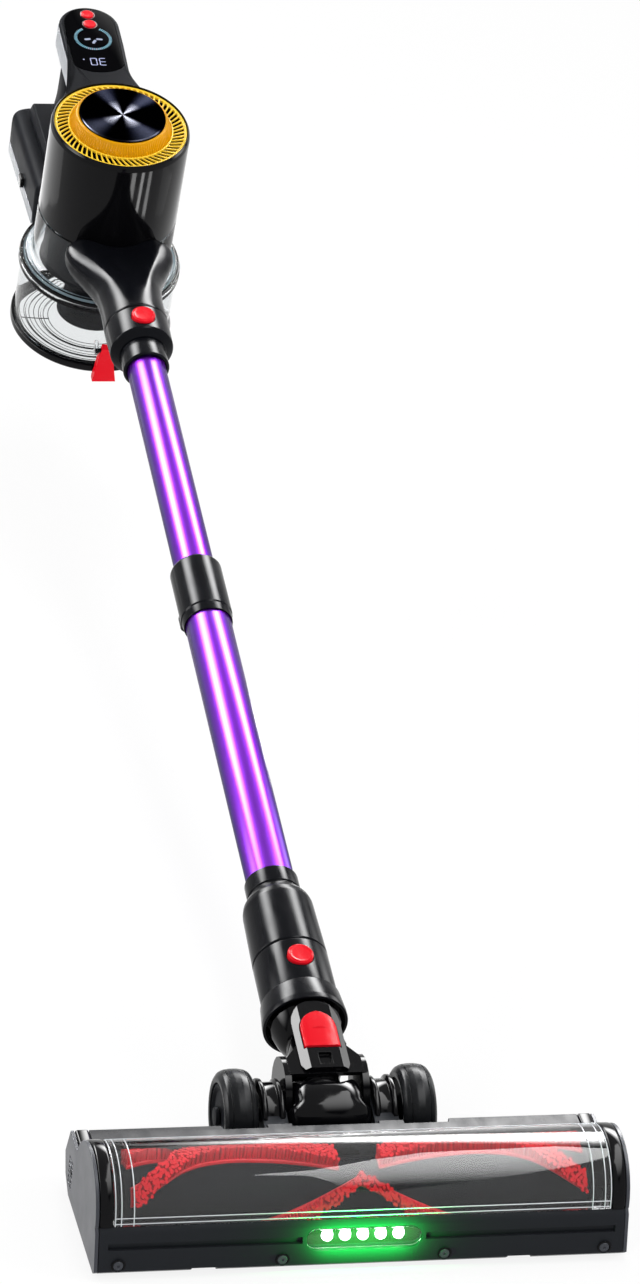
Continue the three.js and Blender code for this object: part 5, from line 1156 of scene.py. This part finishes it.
def make_cup():
    """The clear dust cup with its stepped flange, lugs and seals, and the cone and the shroud inside it."""
    sizes = bpy.context.scene.vacuum_sizes
    cup, flange, low = sizes.cup, sizes.flange, -sizes.cup_bottom
    wall = fillet([
        [48.5, -0.3], [48.5, -37], [53, -39], [53, -41.4], [55.4, -41.4], [55.4, -43.4], [flange, -43.8],
        [flange, -47], [cup, -48], [cup, low], [cup - 2, low], [cup - 2, -43], [46.5, -39], [46.5, -0.3],
    ], [0.3, 2, 0.6, 0.4, 0.5, 0.3, 0.6, 0.6, 1, 0.3, 0.3, 3, 3, 0.3], True)
    build("cup", [revolve(wall, FINE, closed=True)], CLEANER, "clear_thick", "main_unit", ())
    ear = np.array([[-54, -73], [-60, -75], [-62, -79], [-60, -82], [-54, -84]])
    ears = both_sides(extrude(fillet(ear, 0.8, True), 5.6, 8, 0.4, "x"))
    arms = [[52.2, -79], [59.5, -86], [63.7, -97], [60.5, -100.2], [57.3, -97], [57.3, -94.7], [52.2, -94.7]]
    hinge = both_sides(extrude(fillet(arms, 1.0, True), 10, 14, 0.5, "x"))
    build("cup_lugs", ears + hinge, CLEANER, "clear_thick", "main_unit", ("dust_cup",))
    cone = fillet([[41, -1], [46.2, -1], [46.2, -4], [44, -6], [42.4, -37], [43.4, -38.4], [43.4, -41], [40, -42.6],
                   [26.6, -46], [22, -46], [38, -40]], [0.6, 0.6, 0.6, 1.5, 0.8, 0.6, 0.8, 3, 0.6, 0.3, 0.3], True)
    build("cone", [revolve(cone, MEDIUM, closed=True)], CLEANER, "satin", "main_unit", ("cyclone_cone",))
    shroud = fillet([[19, -44.3], [22.4, -46.3], [22.4, -83], [24.2, -85], [24.2, -88], [16.4, -91], [12.4, -91],
                     [12.4, -88], [20, -85], [19, -81]], 0.4, True, 2)
    build("shroud", [revolve(shroud, MEDIUM, closed=True)], CLEANER, "satin", "main_unit", ("mesh_shroud",))
    # painted shade: dark hexagons on the shroud stand for its holes
    build("shroud_hole_shade", [dimple_rows(22.43, -49, -80, 18, 56, 0.5)], CLEANER, "void", "main_unit")
    seals = [
        hoop(54.4, 56.4, -41.6, -44.0, 0.3, FINE), hoop(55.6, 57.0, -45.8, -48.4, 0.3, FINE),
        hoop(52.6, 53.3, -39.6, -40.4, 0.3, FINE), hoop(48.1, 48.7, -0.1, -0.7, 0.2, FINE),
    ]
    build("cup_seals", seals, CLEANER, "gloss", "main_unit")
    build("cup_gasket", [hoop(48.6, 54.2, -42.2, -43.6, 0.3, FINE)], CLEANER, "gasket", "main_unit")


def dimple_rows(radius, top, bottom, rows, count, dot):
    """Rows of small flat hexagons on a cylinder, every other row turned by half a step: the shroud's holes."""
    row = np.repeat(np.arange(rows), count)
    column = np.tile(np.arange(count), rows)
    angle = 2 * np.pi * (column + 0.5 * (row % 2)) / count
    z = top + (bottom - top) * row / (rows - 1)
    corner = 2 * np.pi * np.arange(6) / 6
    turn = angle[:, None] + dot * np.cos(corner) / radius
    height = z[:, None] + dot * np.sin(corner)
    rim = np.stack([radius * np.cos(turn), radius * np.sin(turn), height], -1)
    back = np.stack([(radius - 0.3) * np.cos(turn), (radius - 0.3) * np.sin(turn), height], -1)
    grid = np.stack([back, rim], 1).reshape(-1, 3)
    base = np.arange(rows * count)[:, None] * 12
    j = np.arange(6)
    side = np.stack([j, (j + 1) % 6, 6 + (j + 1) % 6, 6 + j], -1)
    faces = (base[:, :, None] + side[None]).reshape(-1, 4).tolist()
    faces += (base + 6 + j).tolist() + (base + j[::-1]).tolist()
    return grid, faces


LID_PIN = (60.5, -97)  # Y and Z of the lid's hinge
LATCH_PIN = (-59, -79)  # Y and Z of the latch's pivot


def make_lid():
    """The lid: a thick black rim with its hinge, a clear pane with raised rings, and the red latch with its pin."""
    flange = bpy.context.scene.vacuum_sizes.flange
    rim = fillet([
        [50.4, -95.3], [flange, -95.3], [flange, -100], [flange - 1, -101], [48.4, -101], [48.4, -99.4],
        [50.4, -99.4],
    ], [0, 0.5, 1, 0.6, 0.5, 0, 0], True)
    knuckle = [[54, -95.3], [56.5, -95.3], [60.5, -93.8], [63.7, -97], [60.5, -100.2], [54, -101]]
    knuckle = extrude(fillet(knuckle, 1.0, True), -9.6, 9.6, 0.5, "x")
    pin = cross_pin(1.6, 14, *LID_PIN)
    catch = extrude(fillet([[-55, -96.3], [-58.4, -96.3], [-58.4, -97.9], [-55, -97.9]], 0.3, True), -4, 4, 0.2, "x")
    build("rim", [revolve(rim, FINE, closed=True), knuckle, pin, catch], CLEANER, "gloss", "bottom_lid",
          ("lid_rim",))
    low = -99.1
    pane = [[0, low], [50.1, low], [50.1, low + 3]]
    for radius in (43, 33):
        pane += [[radius + 1.2, low + 2], [radius + 1, low + 3], [radius - 1, low + 3], [radius - 1.2, low + 2]]
    pane.append([0, low + 2])
    build("pane", [revolve(fillet(pane, 0.4, steps=3), FINE)], CLEANER, "clear", "bottom_lid", ("lid_pane",))
    radii = (29, 32.2, 35.4, 38.6, 41.8, 45, 48)
    lines = [hoop(r, r + 0.45, low + 2.9, low + 3.1, 0, MEDIUM) for r in radii]
    lines.append(extrude(round_box(-38.5, 0, 9.8, 0.45, 0.3, 3), low + 2.85, low + 3.1, 0.05))
    build("pane_lines", lines, CLEANER, "gloss", "bottom_lid", ())
    refined("lid_latch", "red", 0.7)
    build("latch_pin", [cross_pin(1.65, 7.7, *LATCH_PIN)], CLEANER, "gloss", "latch", ())


# ---------------------------------------------------------------- handle, display and battery


def resampled(outline, count):
    """The outline with a set number of points spaced evenly along it, from where it crosses its -Y side."""
    outline = anticlockwise(outline)
    start = int(np.argmin(outline[:, 1] + np.abs(outline[:, 0]) * 0.3))
    loop = np.roll(outline, -start, 0)
    loop = np.vstack([loop, loop[:1]])
    length = np.concatenate([[0], np.cumsum(np.linalg.norm(np.diff(loop, axis=0), axis=1))])
    where = np.linspace(0, length[-1], count, endpoint=False)
    return np.column_stack([np.interp(where, length, loop[:, k]) for k in (0, 1)])


def handle_outline(inset=0.0):
    """The display head from above: it starts on the cylinder, narrows to a waist and ends in a half circle."""
    half = 21.5 - inset
    angle = math.degrees(math.asin((34 - inset) / SEAT_RADIUS))
    front = arc(0, 0, SEAT_RADIUS, 90 + angle, 90 - angle, 24)
    flank = [[34 - inset, 40], [31 - inset, 52], [25.5 - inset, 64], [20.7 - inset, 78], [half, 112]]
    end = arc(0, 133.5, half, 4, 176, 32)
    right = fillet([front[-1], *flank, end[0]], [0, 8, 20, 30, 40, 60, 0], steps=6)
    left = right[::-1] * np.array([-1, 1])
    return np.concatenate([right, end[1:-1], left, front[1:-1]])


def panel_outline(inset=0.0):
    """The display's outline: a long oval, a little longer at its far end."""
    half = 18.0 - inset
    far = arc(0, 0, half, 0, 180, 32) * np.array([1, 1.08]) + np.array([0, 133.5])
    near = arc(0, 96.4, half, 180, 360, 24)
    near[:, 1] = 79 + inset + (near[:, 1] - 79 - inset) * 0.6
    return np.concatenate([far, near])


def stack_of(outline_at, levels):
    """Rings of a body built up in layers: each level is (inset, height)."""
    return np.array([np.column_stack([outline_at(inset), np.full(len(outline_at(inset)), z)]) for inset, z in levels])


def make_handle():
    """The handle: the display head, the grip and the dock for the battery."""
    count = 240
    outer = lambda inset: resampled(handle_outline(inset), count)
    round_low = [(4.5 * (1 - math.sin(a)), 43 + 4.5 * (1 - math.cos(a))) for a in np.linspace(0, math.pi / 2, 7)]
    round_high = [(2.6 * (1 - math.sin(a)), 60 - 2.6 * (1 - math.cos(a))) for a in np.linspace(math.pi / 2, 0, 7)]
    rings = [np.column_stack([outer(i), np.full(count, z)]) for i, z in round_low + round_high]
    well = resampled(panel_outline(-0.3), count)
    rings += [np.column_stack([well, np.full(count, z)]) for z in (60, 58)]
    head = skin(np.array(rings), caps=True)
    grip_table = [(-30, 134, 17.5, 20), (-22, 134, 16.5, 19), (-4, 132, 15.5, 17.5), (18, 130, 15.8, 17.5),
                  (37, 130, 15.5, 18.5), (49, 132, 16, 21)]
    z = np.linspace(-30, 49, 60)
    section = [
        np.column_stack([super_ring(half, depth, depth, 2.4, 96) + np.array([0, y]), np.full(96, level)])
        for level, (y, half, depth) in zip(z, eased(grip_table, z))
    ]
    grip = skin(np.array(section), caps=True)
    build("handle", [head, grip], CLEANER, "satin", "main_unit", ("handle_frame",))
    right = resampled(handle_outline(-0.35), 480)
    right = right[(right[:, 0] > 0) & (right[:, 1] > 66) & (right[:, 1] < 140)]
    right = right[np.argsort(right[:, 1])]
    flank = np.concatenate([right, right[::-1] - np.array([1.2, 0])])
    build("handle_flanks", both_sides(extrude(flank, 40.5, 56.5, 0.3)), CLEANER, "silver", "main_unit", ())
    dock = fillet([[-10, 0.3], [100, 0.3], [100, 6], [92, 15], [20, 13], [-10, 10]], [0, 1, 3, 5, 4, 1], True)
    build("dock", [extrude(dock, -28, 28, 1.6, "x")], BATTERY, "satin", "main_unit", ())


BATTERY = tipped_frame(CLEANER, (0, 60, -27), -8)
DISPLAY_TOP = 60.4


def bar_part(x0, y0, x1, y1, half, low, high):
    """A flat bar with round ends from one point to another."""
    start, end = np.array([x0, y0], float), np.array([x1, y1], float)
    angle = math.degrees(math.atan2(y1 - y0, x1 - x0))
    ends = [arc(*end, half, angle - 90, angle + 90, 6), arc(*start, half, angle + 90, angle + 270, 6)]
    outline = np.concatenate(ends)
    return extrude(outline, low, high, 0.04, steps=1)


SEGMENTS = {  # the lit bars of each digit: top, upper left, upper right, middle, lower left, lower right, bottom
    "0": (1, 1, 1, 0, 1, 1, 1),
    "3": (1, 0, 1, 1, 0, 1, 1),
}


def digit_parts(digit, cx, cy, width, height, half, low, high):
    """A seven-bar digit that reads upright from the handle's end."""
    w, h = width / 2, height / 2
    bars = [
        (-w, -h, w, -h), (-w, -h, -w, 0), (w, -h, w, 0), (-w, 0, w, 0), (-w, 0, -w, h), (w, 0, w, h), (-w, h, w, h),
    ]
    parts = []
    for lit, (x0, y0, x1, y1) in zip(SEGMENTS[digit], bars):
        if lit:
            a, b = np.array([x0, y0]), np.array([x1, y1])
            step = (b - a) / np.linalg.norm(b - a) * half * 1.3
            a, b = a + step, b - step
            parts.append(bar_part(cx - a[0], cy + a[1], cx - b[0], cy + b[1], half, low, high))
    return parts


def make_display():
    """The display: a dark glass panel, two red buttons in round wells, a dim dial of short bars and plain digits."""
    panel = skin(stack_of(panel_outline, [(0, 58.3), (0, 60.1), (0.1, 60.3), (0.35, DISPLAY_TOP)]), caps=True)
    build("display", [panel], CLEANER, "display", "main_unit", ("display_panel",))
    recess_shade_rings = []
    for node, y in (("power_button", 144.8), ("mode_button", 133.6)):
        profile = fillet([[0, 59.8], [4.4, 59.8], [4.4, 61.0], [3.7, 61.57], [2.9, 61.48], [0, 61.46]], 0.35)
        build(f"{node}_cap", [shifted(revolve(profile, 64), 0, y)], CLEANER, "red", node, (node,))
        # painted shade: a dark red ring round each button in place of the shade of its recess
        recess_shade_rings.append(shifted(hoop(4.7, 5.3, 60.2, 60.55, 0.12, 64), 0, y))
    build("button_recess_shade", recess_shade_rings, CLEANER, "well", "main_unit", ())
    low, high = DISPLAY_TOP - 0.1, DISPLAY_TOP + 0.08
    centre, count = 117.0, 46
    bars, pale = [], []
    for k in range(count):
        turn = math.radians(118 + (422 - 118) * (k + 0.5) / count)
        x, y = math.cos(turn), math.sin(turn)
        bar = bar_part(11.7 * x, centre + 11.7 * y, 13.1 * x, centre + 13.1 * y, 0.42, low, high)
        (pale if abs(k - (count - 1) / 2) < 4 and k % 2 else bars).append(bar)
    build("dial", bars, CLEANER, "teal", "main_unit", ())
    for cx, cy, angle in ((-4.1, -0.9, 8), (4.4, -0.9, -8), (0.3, -3.9, 60)):
        petal = round_box(0, 0, 2.3, 0.95, 0.9, 6)
        c, s = math.cos(math.radians(angle)), math.sin(math.radians(angle))
        petal = petal @ np.array([[c, s], [-s, c]]) + np.array([cx, centre + cy])
        pale.append(extrude(petal, low, high, 0.04, steps=1))
    build("dial_marks", pale, CLEANER, "mark", "main_unit", ())
    digits = []
    for digit, x in (("0", -3.5), ("3", 2.9)):
        digits += digit_parts(digit, x, 90, 4.2, 7.6, 0.3, low, high)
    digits.append(extrude(arc(-10.4, 92.5, 0.6, 0, 348, 29), low, high, 0.04, steps=1))
    build("digits", digits, CLEANER, "digit", "main_unit", ())


def make_battery():
    """The battery pack: a rounded box with a silver strip on each side, and its two latches."""
    table = [(0, 4, 8), (2, 1.6, 6.2), (7, 0, 6), (109, 0, 6), (113.4, 1.4, 6), (115, 3.6, 7)]
    y = np.unique(np.concatenate([np.linspace(0, 8, 17), np.linspace(8, 108, 21), np.linspace(108, 115, 15)]))
    rings = []
    for level, (inset, power) in zip(y, eased(table, y)):
        ring = super_ring(38 - inset, 20 - inset, 20 - inset, power, 120)
        rings.append(np.column_stack([ring[:, 0], np.full(120, level), ring[:, 1] - 20]))
    rail = extrude(round_box(0, 59, 8.6, 50, 2), -4, 3, 0.4)
    build("battery", [skin(np.array(rings), caps=True), rail], BATTERY, "satin", "battery", ("battery_pack",))
    strip = extrude(round_box(58, -31, 52, 4.4, 2.4, 8), 36.6, 38.3, 0.25, "x")
    build("battery_strips", both_sides(strip), BATTERY, "silver", "battery", ())
    for side, pick in (("right", 0), ("left", 1)):
        nub = both_sides(extrude(round_box(50, -25, 4.7, 3.7, 1.2), 34.4, 40.6, 0.8, "x"))[pick]
        build(f"battery_nub_{side}", [nub], BATTERY, "gloss", f"battery_latch_{side}", (f"battery_latch_{side}",))


# ---------------------------------------------------------------- stage


def placing(x, y, z, origin):
    """The placing with these three axes and this origin."""
    return mathutils.Matrix([[x[i], y[i], z[i], origin[i]] for i in range(3)] + [[0, 0, 0, 1]])


def facing(place, target, along):
    """The placing of a flat lamp or card that looks at a point, with its second side near a given direction."""
    back = np.array(place, float) - np.array(target)
    back /= np.linalg.norm(back)
    side = np.cross(np.array(along, float), back)
    side /= np.linalg.norm(side)
    up = np.cross(back, side)
    return placing(side, up, back, place)


def softbox(name, place, target, size, watts, colour=(1, 1, 1), along=(0, 1, 0)):
    """A large soft lamp that looks at a point; polished surfaces see the cards in its place."""
    data = bpy.data.lights.new(name, "AREA")
    data.shape, data.size, data.size_y, data.energy, data.color = "RECTANGLE", size[0], size[1], watts, colour
    lamp = linked(name, data)
    lamp.matrix_world = facing(place, target, along)
    lamp.visible_glossy = lamp.visible_camera = lamp.visible_transmission = False
    return lamp


def hidden_card(name, corners, material):
    """A flat card that shows in polished surfaces alone and adds no light to matt ones."""
    data = bpy.data.meshes.new(name)
    data.from_pydata(corners, [], [tuple(range(len(corners)))])
    data.materials.append(material)
    card = linked(name, data)
    card.visible_camera = card.visible_diffuse = card.visible_transmission = card.visible_shadow = False
    return card


def reflector(name, corners, strength, fade=None):
    """A bright card with given corners, at full strength or fading from one point to another."""
    material, tree, output = new_material(f"{name} card")
    glow = strength
    if fade:
        start, end = (np.array(point, float) for point in fade)
        step = (end - start) / np.dot(end - start, end - start)
        place = add(tree, "ShaderNodeTexCoord").outputs["Object"]
        along = add(tree, "ShaderNodeVectorMath", {"operation": "DOT_PRODUCT"}, {0: place, 1: tuple(step)})
        first = float(np.dot(start, step))
        glow = add(tree, "ShaderNodeMapRange", {"interpolation_type": "SMOOTHSTEP"}, {
            0: along.outputs["Value"], 1: first, 2: first + 1, 3: strength, 4: 0.0,
        }).outputs[0]
    light = add(tree, "ShaderNodeEmission", None, {"Color": (1, 1, 1, 1), "Strength": glow})
    tree.links.new(light.outputs[0], output.inputs[0])
    return hidden_card(name, corners, material)


def soft_card(name, place, target, size, strength, along=(0, 1, 0)):
    """A bright card that fades to nothing at its four sides, for wide soft highlights."""
    material, tree, output = new_material(f"{name} card")
    parts = add(tree, "ShaderNodeSeparateXYZ", None, {0: add(tree, "ShaderNodeTexCoord").outputs["Object"]}).outputs
    glow = strength
    for part, length in zip(parts, size):
        away = add(tree, "ShaderNodeMath", {"operation": "ABSOLUTE"}, {0: part}).outputs[0]
        share = add(tree, "ShaderNodeMapRange", {"interpolation_type": "SMOOTHSTEP"}, {
            0: away, 1: 0.0, 2: length / 2, 3: 1.0, 4: 0.0,
        }).outputs[0]
        glow = add(tree, "ShaderNodeMath", {"operation": "MULTIPLY"}, {0: share, 1: glow}).outputs[0]
    light = add(tree, "ShaderNodeEmission", None, {"Color": (1, 1, 1, 1), "Strength": glow})
    tree.links.new(light.outputs[0], output.inputs[0])
    x, y = size[0] / 2, size[1] / 2
    card = hidden_card(name, [(-x, -y, 0), (x, -y, 0), (x, y, 0), (-x, y, 0)], material)
    card.matrix_world = facing(place, target, along)
    return card


def seen_directly(tree):
    """1 for what the camera sees straight, in a mirror or through glass, and 0 for light on other surfaces."""
    path = add(tree, "ShaderNodeLightPath")
    either = add(
        tree, "ShaderNodeMath", {"operation": "MAXIMUM"},
        {0: path.outputs["Is Camera Ray"], 1: path.outputs["Is Glossy Ray"]},
    )
    return add(
        tree, "ShaderNodeMath", {"operation": "MAXIMUM"},
        {0: either.outputs[0], 1: path.outputs["Is Transmission Ray"]},
    ).outputs[0]


def make_sweep():
    """The white floor: mostly plain white to the camera and in reflections, with the object's faint shadow."""
    white, tree, output = new_material("white sweep")
    light = add(tree, "ShaderNodeBsdfDiffuse", None, {"Color": (0.9, 0.9, 0.9, 1)})
    plain = add(tree, "ShaderNodeEmission", None, {"Color": (1, 1, 1, 1), "Strength": 1.0})
    share = add(tree, "ShaderNodeMath", {"operation": "MULTIPLY"}, {0: seen_directly(tree), 1: 0.85})
    mixed = add(tree, "ShaderNodeMixShader", None, {0: share.outputs[0], 1: light.outputs[0], 2: plain.outputs[0]})
    tree.links.new(mixed.outputs[0], output.inputs[0])
    data = bpy.data.meshes.new("floor")
    data.from_pydata([(-40, -40, -0.001), (40, -40, -0.001), (40, 40, -0.001), (-40, 40, -0.001)], [], [(0, 1, 2, 3)])
    data.materials.append(white)
    floor = linked("floor", data)
    return floor


def lamp_glow():
    """Small green lamps that ride on the headlight and shine from each of its lamps back on the bumper and up on the
    window."""
    glows = []
    colour = bpy.context.scene.vacuum_colours.lamp_green
    for i, x in enumerate(LAMP_XS):
        place = (HEAD @ np.array([x, -128, LAMP_Z + 1, 1]))[:3]
        aim = (HEAD @ np.array([x, -110, LAMP_Z + 3, 1]))[:3]
        lamp = softbox(f"glow_{i}", place, aim, (0.006, 0.006), 0.13, colour)
        lamp.parent = bpy.data.objects["lamps"]
        glows.append(lamp)
    return glows


FLOOR_CARDS = [  # bright strips beside the cylinder's foot, as metres on the floor, and how bright each one is
    ("left edge", [(-0.38, 1.02), (-0.56, 1.1), (-0.52, 1.4), (-0.25, 1.68), (0.13, 1.7), (0.09, 1.44),
                   (-0.17, 1.4), (-0.34, 1.2)], 2.2),
    ("first streak", [(0.08, 0.63), (0.10, 0.53), (0.145, 0.54), (0.11, 0.64)], 16),
    ("second streak", [(0.15, 0.655), (0.20, 0.57), (0.225, 0.59), (0.17, 0.665)], 20),
    ("third streak", [(0.205, 0.69), (0.27, 0.62), (0.295, 0.645), (0.23, 0.71)], 12),
    ("right side", [(0.31, 0.8), (0.42, 0.75), (0.46, 0.95), (0.36, 0.9)], 1.4),
]


WEDGE = [  # the bright sheet overhead that the turned disc and the gloss surfaces reflect
    (0.2, -1.05), (0.42, -0.75), (0.57, -0.1), (0.8, 0.6), (1.5, 1.0), (1.5, -5), (0.9, -3.6), (0.62, -2.2),
    (0.42, -1.25),
]
WEDGE_HEIGHT = 2.4


def make_stage():
    """A white sweep, soft lamps and the camera."""
    middle = (0, 0.45, 0.2)
    lamps = [
        softbox("left strip", (-1.9, 2.3, 1.6), middle, (0.3, 2.2), 34, along=ALONG),
        softbox("front strip", (-1.5, -1.9, 1.9), middle, (0.3, 1.8), 20, along=UPPER),
        softbox("right strip", (2.1, -0.3, 1.0), middle, (0.4, 2.2), 24, along=UPPER),
        softbox("overhead", (0.2, 0.6, 2.6), middle, (0.5, 1.8), 20, along=ALONG),
        reflector("wedge", [(x, y, WEDGE_HEIGHT) for x, y in WEDGE], 17,
                  ((0.45, 0.0, WEDGE_HEIGHT), (1.4, -3.4, WEDGE_HEIGHT))),
        soft_card("left sheen", (-1.18, 1.7, 1.53), (0, 0.45, 0.15), (1.35, 3.6), 55, ALONG),
        soft_card("right sheen", (1.13, 1.68, 1.58), (0, 0.45, 0.15), (1.15, 3.6), 55, ALONG),
        soft_card("low left", (-1.5, 0.45, 0.45), (0, 0.03, 0.06), (1.6, 1.3), 22, (0, 0, 1)),
        soft_card("low right", (1.5, 0.9, 0.4), (0, 0.03, 0.06), (1.3, 1.3), 10, (0, 0, 1)),
        *(reflector(name, [(x, y, 0.001) for x, y in corners], strength) for name, corners, strength in FLOOR_CARDS),
    ]
    world = bpy.data.worlds.new("studio")
    bpy.context.scene.world = world
    world.use_nodes = True
    tree = world.node_tree
    tree.nodes.clear()
    dim = add(tree, "ShaderNodeBackground", None, {"Color": (1, 1, 1, 1), "Strength": 0.6})
    bright = add(tree, "ShaderNodeBackground", None, {"Color": (1, 1, 1, 1), "Strength": 1.0})
    both = add(tree, "ShaderNodeMixShader", None, {0: seen_directly(tree), 1: dim.outputs[0], 2: bright.outputs[0]})
    out = add(tree, "ShaderNodeOutputWorld")
    tree.links.new(both.outputs[0], out.inputs[0])
    make_sweep()
    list(lamp_glow())
    make_camera()
    bpy.context.scene.view_settings.view_transform = "Standard"


CAMERA_PLACE = (-771.0, -2662.1, 1792.04)
CAMERA_TURN = (15.24, 27.3, 6.41)  # degrees: to the right, down, and round its own axis
CAMERA_LENS = 156.68


def make_camera():
    """The camera: a long lens from the front left, above."""
    turn, drop, roll = (math.radians(v) for v in CAMERA_TURN)
    ahead = np.array([math.sin(turn) * math.cos(drop), math.cos(turn) * math.cos(drop), -math.sin(drop)])
    right = np.array([math.cos(turn), -math.sin(turn), 0])
    up = np.cross(right, ahead)
    x = right * math.cos(roll) + up * math.sin(roll)
    y = up * math.cos(roll) - right * math.sin(roll)
    data = bpy.data.cameras.new("camera")
    data.sensor_width, data.lens = 36, CAMERA_LENS
    data.sensor_fit = "AUTO"
    camera = linked("camera", data)
    camera.matrix_world = placing(x, y, -ahead, np.array(CAMERA_PLACE) * MM)
    bpy.context.scene.camera = camera
    return camera


# ---------------------------------------------------------------- add-on


class VacuumStep:
    """What the operators share: each runs one builder function and fails loudly."""

    bl_options = {"REGISTER", "UNDO"}
    step = None

    def execute(self, context):
        type(self).step()
        return {"FINISHED"}


def operator(idname, label, step):
    """An operator class that runs one builder function; its description is the function's docstring."""
    doc = step.__doc__
    return type(
        f"VACUUM_OT_{idname}", (VacuumStep, bpy.types.Operator),
        {"bl_idname": f"vacuum.{idname}", "bl_label": label, "__doc__": doc, "step": staticmethod(step)},
    )


def make_materials():
    """Makes all the finishes from the colours in the panel."""
    make_finishes(bpy.context.scene.vacuum_colours)


STEPS = [
    operator("finishes", "Finishes", make_materials),
    operator("housing", "Floor head housing", make_housing),
    operator("lights", "Headlight", make_lights),
    operator("brush", "Brush roll", make_brush_roll),
    operator("wheels", "Wheels", make_wheels),
    operator("neck", "Neck", make_neck),
    operator("elbow", "Elbow", make_elbow),
    operator("wand", "Wand", make_wand),
    operator("duct", "Inlet duct", make_duct),
    operator("motor", "Motor housing", make_motor_housing),
    operator("filter", "Filter cap", make_filter_cap),
    operator("cup", "Dust cup", make_cup),
    operator("lid", "Lid", make_lid),
    operator("handle", "Handle", make_handle),
    operator("display", "Display", make_display),
    operator("battery", "Battery", make_battery),
    operator("stage", "Stage and camera", make_stage),
]


class VACUUM_PT_panel(bpy.types.Panel):
    """The vacuum's sizes, colours and build steps in the sidebar."""

    bl_label = "Vacuum"
    bl_space_type = "VIEW_3D"
    bl_region_type = "UI"
    bl_category = "Vacuum"

    def draw(self, context):
        for settings in (context.scene.vacuum_sizes, context.scene.vacuum_colours):
            column = self.layout.column(align=True)
            for name in settings.__annotations__:
                column.prop(settings, name)
        for step in STEPS:
            self.layout.operator(step.bl_idname)


CLASSES = [VacuumColours, VacuumSizes, *STEPS, VACUUM_PT_panel]


def register():
    for cls in CLASSES:
        bpy.utils.register_class(cls)
    bpy.types.Scene.vacuum_sizes = PointerProperty(type=VacuumSizes)
    bpy.types.Scene.vacuum_colours = PointerProperty(type=VacuumColours)


def unregister():
    del bpy.types.Scene.vacuum_sizes, bpy.types.Scene.vacuum_colours
    for cls in reversed(CLASSES):
        bpy.utils.unregister_class(cls)


def main():
    """Builds everything and writes both sizes."""
    register()
    for name in [step.bl_idname.split(".")[1] for step in STEPS]:
        getattr(bpy.ops.vacuum, name)()


if __name__ == "__main__":
    main()
